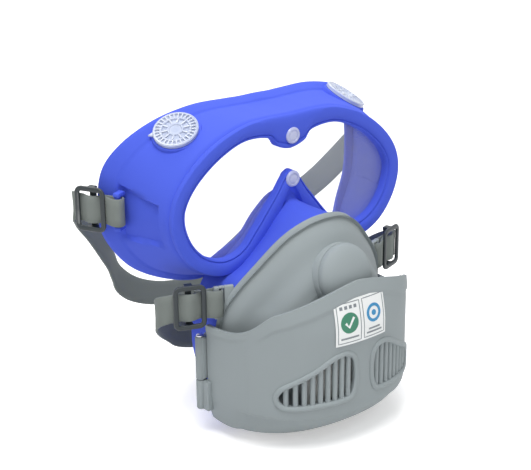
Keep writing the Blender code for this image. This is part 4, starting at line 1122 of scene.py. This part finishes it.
@dataclass
class Cover:
    """Front cover that swings on the left hinge, with its two grilles and label."""

    half_width: float = 59.5
    depth: float = 62.0
    wall: float = 2.2
    squareness: float = 2.28
    peak: float = 91.5
    fall: float = 18.5
    corner_drop: float = 8.5
    columns: int = 200
    rows: int = 76
    outline: tuple = ((-44.6, 32.5), (-43.2, 37.2), (-37, 41.5), (-28.2, 46.6), (-18.8, 52.4),
                      (-12.3, 53.8), (-8.0, 51.4), (-6.6, 46), (-6.8, 35.7), (-9.2, 30.4),
                      (-16, 29.2), (-28, 28.7), (-38, 28.2), (-42.6, 28.9))
    bar_pitch: float = 4.0
    bar_count: int = 9
    bar_radius: float = 1.45

    def top(self, x: np.ndarray) -> np.ndarray:
        """Height of the top edge at a distance x from the middle."""
        fall = self.fall * (np.abs(x) / self.half_width) ** 1.5
        return self.peak - fall - self.corner_drop * step_up(np.abs(x), 45.0, 58.0)

    def surface(self, angle: np.ndarray, share: np.ndarray) -> np.ndarray:
        """Points of the plain outer face."""
        across = np.sign(np.sin(angle)) * np.abs(np.sin(angle)) ** (2 / self.squareness)
        ahead = np.abs(np.cos(angle)) ** (2 / self.squareness)
        bottom = 9 - 4.5 * ahead
        z = bottom + share * (self.top(across * self.half_width) - bottom)
        tuck = np.maximum(0, 1 - (z - bottom) / 20) ** 2.2
        lean = np.maximum(0, (z - 67) / 28) ** 1.5
        depth = self.depth - 16 * tuck - 7 * lean
        wide = self.half_width * (1 - 0.05 * tuck)
        return np.stack((across * wide, -3 - (depth - 3) * ahead, z), axis=-1)

    def spot(self, x: float, z: float) -> tuple:
        """Point and outward normal of the outer face in front of (x, z), above the tuck."""
        def point(px: float, pz: float) -> np.ndarray:
            """Point of the outer face by its X and Z."""
            lean = max(0.0, (pz - 67) / 28) ** 1.5
            tuck = max(0.0, 1 - (pz - 4.5) / 20) ** 2.2
            deep = self.depth - 16 * tuck - 7 * lean - 3
            share = min(1.0, abs(px / (self.half_width * (1 - 0.05 * tuck))))
            return np.array((px, -3 - deep * (1 - share ** self.squareness)
                             ** (1 / self.squareness), pz))
        here = point(x, z)
        normal = np.cross(point(x + 0.2, z) - point(x - 0.2, z),
                          point(x, z + 0.2) - point(x, z - 0.2))
        return here, normal / np.linalg.norm(normal)

    def relief(self, points: np.ndarray, angle: np.ndarray, share: np.ndarray) -> np.ndarray:
        """How far the outer face stands out at each point: top edge, crease and low step."""
        x, z = points[..., 0], points[..., 2]
        across = np.abs(np.sin(angle)) ** (2 / self.squareness)
        bottom = 9 - 4.5 * np.abs(np.cos(angle)) ** (2 / self.squareness)
        below = self.top(x) - z
        inward = step_up(np.abs(x), 54, 46)
        edge = 0.9 * step_up(below, 9.2, 7.2) * inward
        step = -1.7 * step_up(z - bottom, 15.0, 13.2) * step_up(across, 0.97, 0.90)
        flank = -0.6 * step_up(across, 0.90, 0.93) * step_up(below, 3.0, 6.0)
        return edge + step + flank

    def shell(self) -> bmesh.types.BMesh:
        """Closed wall of the cover."""
        turns = math.pi * (np.linspace(0, 1, self.columns + 1) - 0.5)
        shares = np.linspace(0, 1, self.rows)
        angle, share = np.meshgrid(turns, shares, indexing="ij")
        plain = self.surface(angle, share)
        around, upward = np.gradient(plain, axis=0), np.gradient(plain, axis=1)
        around[0] = around[1]
        around[-1] = around[-2]
        normals = unit(np.cross(around, upward))
        normals = normals * -np.sign(normals[..., 1].sum())
        outer = plain + normals * self.relief(plain, angle, share)[..., None]
        inner = plain - normals * self.wall
        rows = []
        for face, back in zip(outer, inner):
            top = self.end(face[-1], back[-1], face[-1] - face[-2])
            low = self.end(back[0], face[0], face[0] - face[1])
            rows.append([*face, *top, *back[::-1], *low])
        return closed_grid(rows, round_rows=False, caps=True)

    @staticmethod
    def end(first: np.ndarray, last: np.ndarray, ahead: np.ndarray) -> list:
        """Half-round edge between two points of one section."""
        middle, half = 0.5 * (first + last), 0.5 * (first - last)
        reach = np.linalg.norm(half)
        ahead = ahead / np.linalg.norm(ahead)
        return [middle + half * math.cos(a) + ahead * reach * (math.sin(a) - 1)
                for a in np.linspace(0, math.pi, 7)[1:-1]]

    def window(self, side: Side, grow: float) -> np.ndarray:
        """Smooth outline of a grille, as (x, z) points, moved out by grow."""
        points = np.array([(x * -side.value, 0.0, z) for x, z in self.outline])
        ring = smooth_rows(list(points), 10, closed=True)
        return ring + ring_out(ring) * grow

    def build_shell(self) -> None:
        """Adds the shell, with the grilles cut through it."""
        mesh = mesh_of("cover_shell", self.shell(), 50)
        shell = bpy.data.objects.new("cover_work", mesh)
        bpy.context.scene.collection.objects.link(shell)
        cutters = []
        for side in Side:
            ring = self.window(side, 0.2)
            rows = [ring - BACK * 75, ring - BACK * 30]
            work = closed_grid(rows, round_rows=False, caps=True)
            bmesh.ops.recalc_face_normals(work, faces=work.faces)
            cutters.append(work)
        tool = bpy.data.objects.new("cutter", mesh_of("cutter", gathered(cutters)))
        bpy.context.scene.collection.objects.link(tool)
        step = shell.modifiers.new("Windows", "BOOLEAN")
        step.operation = "DIFFERENCE"
        step.object = tool
        step.solver = "MANIFOLD"
        plain = plain_mesh(shell).data
        bpy.data.objects.remove(shell)
        bpy.data.objects.remove(tool)
        fittings = mesh_of("fittings", gathered(self.fittings()))
        mesh = joined_mesh("cover_shell", [plain, fittings])
        add_piece("cover_shell", mesh, GREY_PLASTIC, body="cover", stands_for=("filter_cover",))

    def fittings(self) -> list:
        """Hinge knuckle and web, thumb tab, and the bead round each grille."""
        knuckle = [(0, 15), (2.2, 15), (2.6, 15.5), (2.6, 31.5), (2.2, 32), (0, 32)]
        parts = [lathe(knuckle, Matrix.Translation((-60.8, 0.6, 0)), 32),
                 rounded_box((-61.3, -6, 15), (-57.5, 0.6, 32), 0.6),
                 rounded_box((57.5, -6, 18), (62, -3, 30), 0.8)]
        for side in Side:
            ring = self.window(side, 1.1)
            line = [self.spot(p[0], p[2]) for p in ring]
            points, normals = np.array([p for p, _ in line]), np.array([n for _, n in line])
            parts.append(swept(points, normals, round_profile(1.5, 1.2)))
            parts.append(swept(points - normals * 1.6, normals,
                               [(-1.2, -0.6), (1.2, -0.6), (1.2, 1.6), (-1.2, 1.6)]))
        return parts

    def build_bars(self) -> None:
        """Adds the upright bars of both grilles."""
        middles, reaches = [], []
        for side in Side:
            ring = self.window(side, 0.6)
            for k in range(self.bar_count):
                x = side.value * (10 + self.bar_pitch * k)
                heights = crossings(ring, x)
                if len(heights) < 2:
                    continue
                low, high = heights[0], heights[-1]
                foot, head = self.spot(x, low), self.spot(x, high)
                a, b = foot[0] - foot[1] * 1.3, head[0] - head[1] * 1.3
                middles.append((a + b) / 2 * MM)
                reaches.append((b - a) * MM)
        start = bpy.data.meshes.new("bar middles")
        start.from_pydata([tuple(m) for m in middles], [], [])
        reach = start.attributes.new("reach", "FLOAT_VECTOR", "POINT")
        reach.data.foreach_set("vector", np.array(reaches, np.float32).ravel())
        mesh = Repeat.run(Repeat.bars(), start, GREY_PLASTIC, Radius=self.bar_radius * MM, Sides=20)
        add_piece("grille_bars", mesh, GREY_PLASTIC, body="cover")

    def build_label(self) -> None:
        """Adds the label's film and the plain marks printed on it."""
        film = self.patch(-18.5, 14.5, 60, 83.5, 0.3, 0.7, 30)
        add_piece("label_film", mesh_of("label_film", film), LABEL_FILM, body="cover",
                  stands_for=("label",))
        grey = [self.frame_lines(-17.2, -3.0, 61.3, 82.2), self.frame_lines(-1.0, 13.2, 61.3, 82.2)]
        for x, z, wide in ((-15.6, 63.2, 11), (0.8, 63.0, 10.6), (2.2, 65.0, 7.8)):
            grey.append(self.patch(x, x + wide, z, z + 0.9, 0.6, 0.85, 8))
        for k in range(4):
            grey.append(self.patch(-15.4 + 2.9 * k, -13.7 + 2.9 * k, 79.0, 80.7, 0.6, 0.85, 3))
        add_piece("label_lines", mesh_of("label_lines", gathered(grey)), LABEL_GREY, body="cover")
        disc = [self.disc(-10.1, 71.7, 5.4)]
        add_piece("label_green_mark", mesh_of("label_green_mark", gathered(disc)), LABEL_GREEN,
                  body="cover")
        tick = [self.stroke([(-12.7, 71.9), (-10.8, 69.4), (-7.4, 74.3)], 0.7, 0.95)]
        add_piece("label_tick", mesh_of("label_tick", gathered(tick)), LABEL_FILM, body="cover")
        turn = np.linspace(0, 2 * math.pi, 33)[:-1]
        ring = [(6.1 + 4.1 * math.cos(t), 73.4 + 4.1 * math.sin(t)) for t in turn]
        blue = [self.stroke(ring + ring[:1], 0.8, 0.85), self.disc(6.1, 73.4, 1.5)]
        add_piece("label_blue_mark", mesh_of("label_blue_mark", gathered(blue)), LABEL_BLUE,
                  body="cover")

    def patch(self, left: float, right: float, low: float, high: float, under: float, over: float,
              count: int) -> bmesh.types.BMesh:
        """Thin closed plate that follows the cover's face, between two heights above it."""
        xs, zs = np.linspace(left, right, count + 1), np.linspace(low, high, count // 2 + 2)
        rows = []
        for x in xs:
            line = [self.spot(x, z) for z in zs]
            rows.append([*(p + n * over for p, n in line), *(p + n * under for p, n in line[::-1])])
        return closed_grid(rows, round_rows=False, caps=True)

    def frame_lines(self, left: float, right: float, low: float, high: float
                    ) -> bmesh.types.BMesh:
        """Thin printed frame."""
        corners = [(left, low), (right, low), (right, high), (left, high), (left, low)]
        fine = []
        for (x0, z0), (x1, z1) in zip(corners, corners[1:]):
            fine += [(x0 + (x1 - x0) * t, z0 + (z1 - z0) * t) for t in np.linspace(0, 0.9, 10)]
        return self.stroke(fine + fine[:1], 0.22, 0.8)

    def stroke(self, line: list, half: float, over: float) -> bmesh.types.BMesh:
        """Printed stroke along (x, z) points."""
        loop = line[0] == line[-1]
        line = line[:-1] if loop else line
        spots = [self.spot(x, z) for x, z in line]
        points, normals = np.array([p for p, _ in spots]), np.array([n for _, n in spots])
        profile = [(-half, 0.55), (half, 0.55), (half, over), (-half, over)]
        return swept(points, normals, profile, closed=loop)

    def disc(self, x: float, z: float, radius: float) -> bmesh.types.BMesh:
        """Printed disc."""
        turn = np.linspace(0, 2 * math.pi, 40, endpoint=False)
        rows = []
        for share, over in ((0.02, 0.6), (1, 0.6), (1, 0.85), (0.5, 0.85), (0.02, 0.85)):
            spots = [self.spot(x + radius * share * math.cos(t), z + radius * share * math.sin(t))
                     for t in turn]
            rows.append([p + n * over for p, n in spots])
        return closed_grid(rows)

    def build_pin(self) -> None:
        """Adds the hinge pin."""
        profile = [(0, 58.2), (1.4, 58.2), (2.0, 57.8), (2.0, 57.3), (1.1, 57.3), (1.1, 16.3),
                   (0.8, 16.0), (0, 16.0)]
        work = lathe(profile, Matrix.Translation((-60.8, 0.6, 0)), 32)
        add_piece("hinge_pin_steel", mesh_of("hinge_pin_steel", work), STEEL,
                  stands_for=("hinge_pin",))


def crossings(ring: np.ndarray, x: float) -> list:
    """Heights at which a closed outline crosses the upright line at x, lowest first."""
    found = []
    for a, b in zip(ring, np.roll(ring, -1, axis=0)):
        if (a[0] - x) * (b[0] - x) < 0:
            found.append(float(a[2] + (b[2] - a[2]) * (x - a[0]) / (b[0] - a[0])))
    return sorted(found)


@dataclass
class Filter:
    """Pleated pad behind the grilles."""

    low: tuple = (-28.0, -51.8, 24.0)
    high: tuple = (28.0, -46.8, 70.0)
    quilt: float = 7.0

    def build(self) -> None:
        """Adds the pad, crowned and quilted."""
        wide, tall = 60, 48
        rows = []
        x0, y0, z0 = self.low
        x1, y1, z1 = self.high
        for i in range(tall + 1):
            v = i / tall
            front, back = [], []
            for k in range(wide + 1):
                u = k / wide
                edge = min(u, 1 - u, v, 1 - v)
                rise = float(step_up(np.array(edge), 0, 0.09))
                x, z = x0 + (x1 - x0) * u, z0 + (z1 - z0) * v
                wave = 0.35 * math.sin(math.pi * x / self.quilt) ** 2 * rise
                front.append((x, y1 - 1.6 - (y1 - y0 - 1.9) * rise ** 0.5 + wave, z))
                back.append((x, y1 - 1.2 + 1.0 * rise, z))
            rows.append([*front, *back[::-1]])
        work = closed_grid(rows, round_rows=False, caps=True)
        pad = add_piece("filter_pad_felt", mesh_of("filter_pad_felt", work, 60), FELT,
                        stands_for=("filter_pad",))


# ---------------------------------------------------------------- straps and buckles

class Band(Enum):
    """The two straps, with the prefix of their buckles."""

    TEMPLE = "goggle_strap"
    CHEEK = "mask_strap"


@dataclass
class Strap:
    """One woven strap with a slide buckle near each end."""

    band: Band
    anchor: tuple
    heading: tuple
    buckle_at: float
    straight: tuple
    route: tuple
    buckle: str
    width: float = 15.0
    thickness: float = 1.3
    loop: tuple = ((9.5, -1.95), (6.5, -2.0), (3.0, -2.2), (0.2, -2.55), (-1.9, -2.75),
                   (-4.0, -2.0), (-4.65, 0), (-4.0, 2.0), (-1.9, 2.7), (0.6, 2.3), (3.0, 1.1),
                   (5.0, 0.4), (7.0, 0.0))

    def start(self, side: int) -> list:
        """Path of the web round its anchor bar, up over the buckle's bar and on."""
        place = web_place(self.anchor, self.heading, side, 0)
        spots = [moved(place, (x, 0, z)) for x, z in self.loop]
        first, last = self.buckle_at - 6.2, self.buckle_at + 6.2
        for t in np.linspace(0, 1, 9)[1:]:
            along = first + (last - first) * t
            rise = 2.3 * math.sin(math.pi * t) ** 2
            spots.append(moved(place, (max(along, 7.3), 0, rise)))
        spots.append(moved(place, (self.straight[-1], 0, 0)))
        return spots

    def path(self) -> np.ndarray:
        """The strap's whole centreline."""
        points = self.start(-1) + [np.array(p, float) for p in self.route] + self.start(1)[::-1]
        return smooth_rows(points, 6)

    def build(self) -> None:
        """Adds the strap with its stitches."""
        path = self.path()
        along = unit(np.gradient(path, axis=0))
        up = unit(np.array((0, 0, 1.0)) - along * along[:, 2:3])
        out = unit(np.cross(along, up))
        run = np.concatenate(([0], np.cumsum(np.linalg.norm(np.diff(path, axis=0), axis=1))))
        half, thick = self.width / 2, self.thickness / 2
        section = [(-half + 0.3, -thick), *((s * half * 0.92, -thick) for s in (-0.5, 0, 0.5)),
                   (half - 0.3, -thick), (half, -0.3), (half, 0.3), (half - 0.3, thick),
                   *((s * half * 0.92, thick) for s in (0.5, 0, -0.5)), (-half + 0.3, thick),
                   (-half, 0.3), (-half, -0.3)]
        rows = [[p + u * a + o * b for a, b in section] for p, u, o in zip(path, up, out)]
        ring = np.array(section + section[:1])
        across = np.concatenate(([0], np.cumsum(np.linalg.norm(np.diff(ring, axis=0), axis=1))))
        measure = np.stack(np.meshgrid(run, across, indexing="ij"), axis=-1) * MM
        work = closed_grid(rows, round_rows=False, caps=True, measure=measure)
        name = "woven_" + self.band.value
        strap = add_piece(name, mesh_of(name, work, 60), WEBBING, stands_for=(self.band.value,))
        thread = self.stitching()
        stitches = add_piece(self.band.value + "_stitches", thread, THREAD)

    def stitching(self) -> bpy.types.Mesh:
        """Two rows of stitches across the sewn end of the loop, at both ends."""
        work = bmesh.new()
        for side in (-1, 1):
            place = metre_place(web_place(self.anchor, self.heading, side, 0))
            for x in (4.6, 6.4):
                ends = [place @ Vector((x * MM, y * MM, 1.35 * MM - 0.1 * MM * (x - 4.6)))
                        for y in np.linspace(-6, 6, 9)]
                verts = [work.verts.new(p) for p in ends]
                for a, b in zip(verts, verts[1:]):
                    work.edges.new((a, b))
        start = bpy.data.meshes.new("stitch lines")
        work.to_mesh(start)
        work.free()
        return Repeat.run(Repeat.stitches(), start, THREAD, Pitch=0.0016,
                          Size=(0.0006, 0.00022, 0.0002))

    def build_buckles(self) -> None:
        """Adds the slide buckle on each side."""
        for side in Side:
            place = web_place(self.anchor, self.heading, side.value, self.buckle_at)
            node = f"{self.buckle}_buckle_{side.word}"
            body = f"{self.buckle}_adjuster_{side.word}"
            work = gathered(self.buckle_parts(place))
            add_piece("moulded_" + node, mesh_of(node, work), DARK_PLASTIC, body=body,
                      stands_for=(node,))

    @staticmethod
    def buckle_parts(place: Matrix) -> list:
        """Rounded ring, middle bar behind the web, and the posts that carry it."""
        half_x, half_y, corner = 7.5, 10.9, 2.6
        line = []
        for cx, cy, first in ((half_x - corner, half_y - corner, 0),
                              (-half_x + corner, half_y - corner, 90),
                              (-half_x + corner, -half_y + corner, 180),
                              (half_x - corner, -half_y + corner, 270)):
            for a in np.radians(np.linspace(first, first + 90, 9)):
                line.append((cx + corner * math.cos(a), cy + corner * math.sin(a), 1.85))
        points = np.array([moved(place, p) for p in line])
        normal = np.array(place.to_3x3() @ Vector((0, 0, 1)))
        section = [(1.35 * math.cos(t) * abs(math.cos(t)) ** -0.3,
                    0.9 * math.sin(t) * abs(math.sin(t)) ** -0.35)
                   for t in np.linspace(0, 2 * math.pi, 20, endpoint=False) + 0.05]
        ring = swept(points, np.tile(normal, (len(points), 1)), section)
        parts = [ring, rounded_box((-1.8, -10.6, -2.75), (1.8, 10.6, -0.97), 0.6, place)]
        for low, high in ((-11.9, -9.65), (9.65, 11.9)):
            parts.append(rounded_box((-2.2, low, -2.75), (2.2, high, 1.45), 0.5, place))
        return parts


GOGGLE_STRAP = Strap(
    Band.TEMPLE, (88.6, 34.0, 124.0), (0.47, 0.88), 13.5, (0, 7, 14, 21),
    ((-98.2, 58.5, 123), (-92.5, 64.5, 116.5), (-83.8, 69.5, 105.9), (-74, 76.2, 93.2),
     (-64.1, 84, 79.6), (-55.8, 93, 67.5), (-46.7, 102, 54.3), (-31.7, 110, 41.5),
     (-12, 114.5, 32.5), (8, 115.7, 29.5), (25, 115, 33), (42, 111, 46), (62, 104, 63),
     (80, 94, 80), (91, 82, 95), (97, 70, 110), (99, 60, 121)), "temple")
MASK_STRAP = Strap(
    Band.CHEEK, (57.5, -8.0, 78.0), (0.942, 0.336), 13.2, (0, 6.5, 13, 20),
    ((-80.5, 5, 75.5), (-78.5, 14, 70), (-70, 25, 60), (-56, 38, 48), (-38, 52, 34), (-14, 62, 24),
     (14, 63, 22), (38, 55, 34), (60, 40, 50), (74, 26, 62), (81, 14, 71), (81, 5, 75.5)), "cheek")


# ---------------------------------------------------------------- studio

@dataclass
class Studio:
    """Pale floor, soft lamps and the camera."""

    azimuth: float = -39.3
    elevation: float = 20.98
    distance: float = 0.7486
    target: tuple = (0.0, -0.007, 0.091)
    focal: float = 93.7
    shift: tuple = (-0.061, 0.036)
    floor_size: float = 6.0

    def direction(self, azimuth: float, elevation: float) -> Vector:
        """Unit vector from the object towards a viewer."""
        a, e = math.radians(azimuth), math.radians(elevation)
        return Vector((math.sin(a) * math.cos(e), -math.cos(a) * math.cos(e), math.sin(e)))

    def build_camera(self) -> None:
        """Adds the camera and makes it the scene's."""
        data = bpy.data.cameras.new("camera")
        data.lens = self.focal
        data.sensor_width = 36
        data.shift_x, data.shift_y = self.shift
        data.clip_start = 0.05
        camera = bpy.data.objects.new("camera", data)
        spot = Vector(self.target) + self.direction(self.azimuth, self.elevation) * self.distance
        camera.location = spot
        camera.rotation_euler = (Vector(self.target) - spot).to_track_quat("-Z", "Y").to_euler()
        bpy.context.scene.collection.objects.link(camera)
        bpy.context.scene.camera = camera

    def build_lamps(self) -> None:
        """Adds three soft area lamps."""
        for name, azimuth, elevation, reach, size, power in (
                ("key", -58, 70, 1.3, 0.8, 13.0), ("fill", 5, 30, 1.5, 1.3, 2.6),
                ("back", 150, 55, 1.4, 0.9, 7.0)):
            data = bpy.data.lights.new(name, "AREA")
            data.shape = "DISK"
            data.size = size
            data.energy = power
            lamp = bpy.data.objects.new(name, data)
            lamp.location = Vector(self.target) + self.direction(azimuth, elevation) * reach
            lamp.rotation_euler = (-self.direction(azimuth, elevation)).to_track_quat(
                "-Z", "Y").to_euler()
            bpy.context.scene.collection.objects.link(lamp)

    def build_world(self) -> None:
        """Sets a white backdrop seen by the camera and a plainer level for the light."""
        world = bpy.data.worlds.new("room")
        world.use_nodes = True
        tree = world.node_tree
        background = tree.nodes["Background"]
        seen = white_to_viewer(tree)
        strength = add_node(tree, "ShaderNodeMix", {"data_type": "FLOAT"}, _0=seen, _2=0.44, _3=1.0)
        tree.links.new(strength.outputs[0], background.inputs["Strength"])
        background.inputs["Color"].default_value = (1, 1, 1, 1)
        bpy.context.scene.world = world

    def build_floor(self) -> None:
        """Adds the floor, white to the camera but for the object's shadow."""
        work = bmesh.new()
        bmesh.ops.create_grid(work, x_segments=8, y_segments=8, size=self.floor_size / 2)
        mesh = bpy.data.meshes.new("floor")
        work.to_mesh(mesh)
        work.free()
        floor = bpy.data.objects.new("floor", mesh)
        bpy.context.scene.collection.objects.link(floor)
        made = bpy.data.materials.new("floor")
        made.use_nodes = True
        tree = made.node_tree
        shader = tree.nodes["Principled BSDF"]
        shader.inputs["Base Color"].default_value = (0.86, 0.86, 0.86, 1)
        shader.inputs["Roughness"].default_value = 0.9
        shader.inputs["Specular IOR Level"].default_value = 0.1
        shader.inputs["Emission Color"].default_value = (1, 1, 1, 1)
        glow = calc(tree, "MULTIPLY", white_to_viewer(tree), 0.42)
        tree.links.new(glow, shader.inputs["Emission Strength"])
        mesh.materials.append(made)


def white_to_viewer(tree: bpy.types.NodeTree) -> bpy.types.NodeSocket:
    """1 for what the camera sees directly, in a reflection or through clear sheet, else 0."""
    path = add_node(tree, "ShaderNodeLightPath")
    either = calc(tree, "MAXIMUM", path.outputs["Is Camera Ray"], path.outputs["Is Glossy Ray"])
    return calc(tree, "MAXIMUM", either, path.outputs["Is Transmission Ray"])


def dress_nodes() -> None:
    """Gives the CAD nodes that stay their own finishes."""
    finishes = {"inhale_seat": GREY_PLASTIC, "exhale_seat": GREY_PLASTIC,
                "filter_grid": GREY_PLASTIC, "inhale_flap": SILICONE, "exhale_flap": SILICONE,
                "vent_base_left": VENT_MOULDING, "vent_base_right": VENT_MOULDING}
    for name, finish in finishes.items():
        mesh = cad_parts[name].data
        mesh.materials.clear()
        mesh.materials.append(finish.material())


def main() -> None:
    """Builds the respirator's looks, one sub-assembly after another."""
    logging.basicConfig(level=logging.INFO, format="%(name)s: %(message)s")
    bpy.context.scene.view_settings.view_transform = "Standard"
    studio = Studio()
    studio.build_camera()
    GoggleFrame().build()
    lens = Lens()
    lens.sheet()
    lens.rivets()
    lens.vents()
    mask = HalfMask()
    mask.build_cup()
    mask.build_body()
    mask.build_dome()
    Filter().build()
    cover = Cover()
    cover.build_shell()
    cover.build_bars()
    cover.build_label()
    cover.build_pin()
    for strap in (GOGGLE_STRAP, MASK_STRAP):
        strap.build()
        strap.build_buckles()
    dress_nodes()
    studio.build_floor()
    studio.build_lamps()
    studio.build_world()


if __name__ == "__main__":
    main()
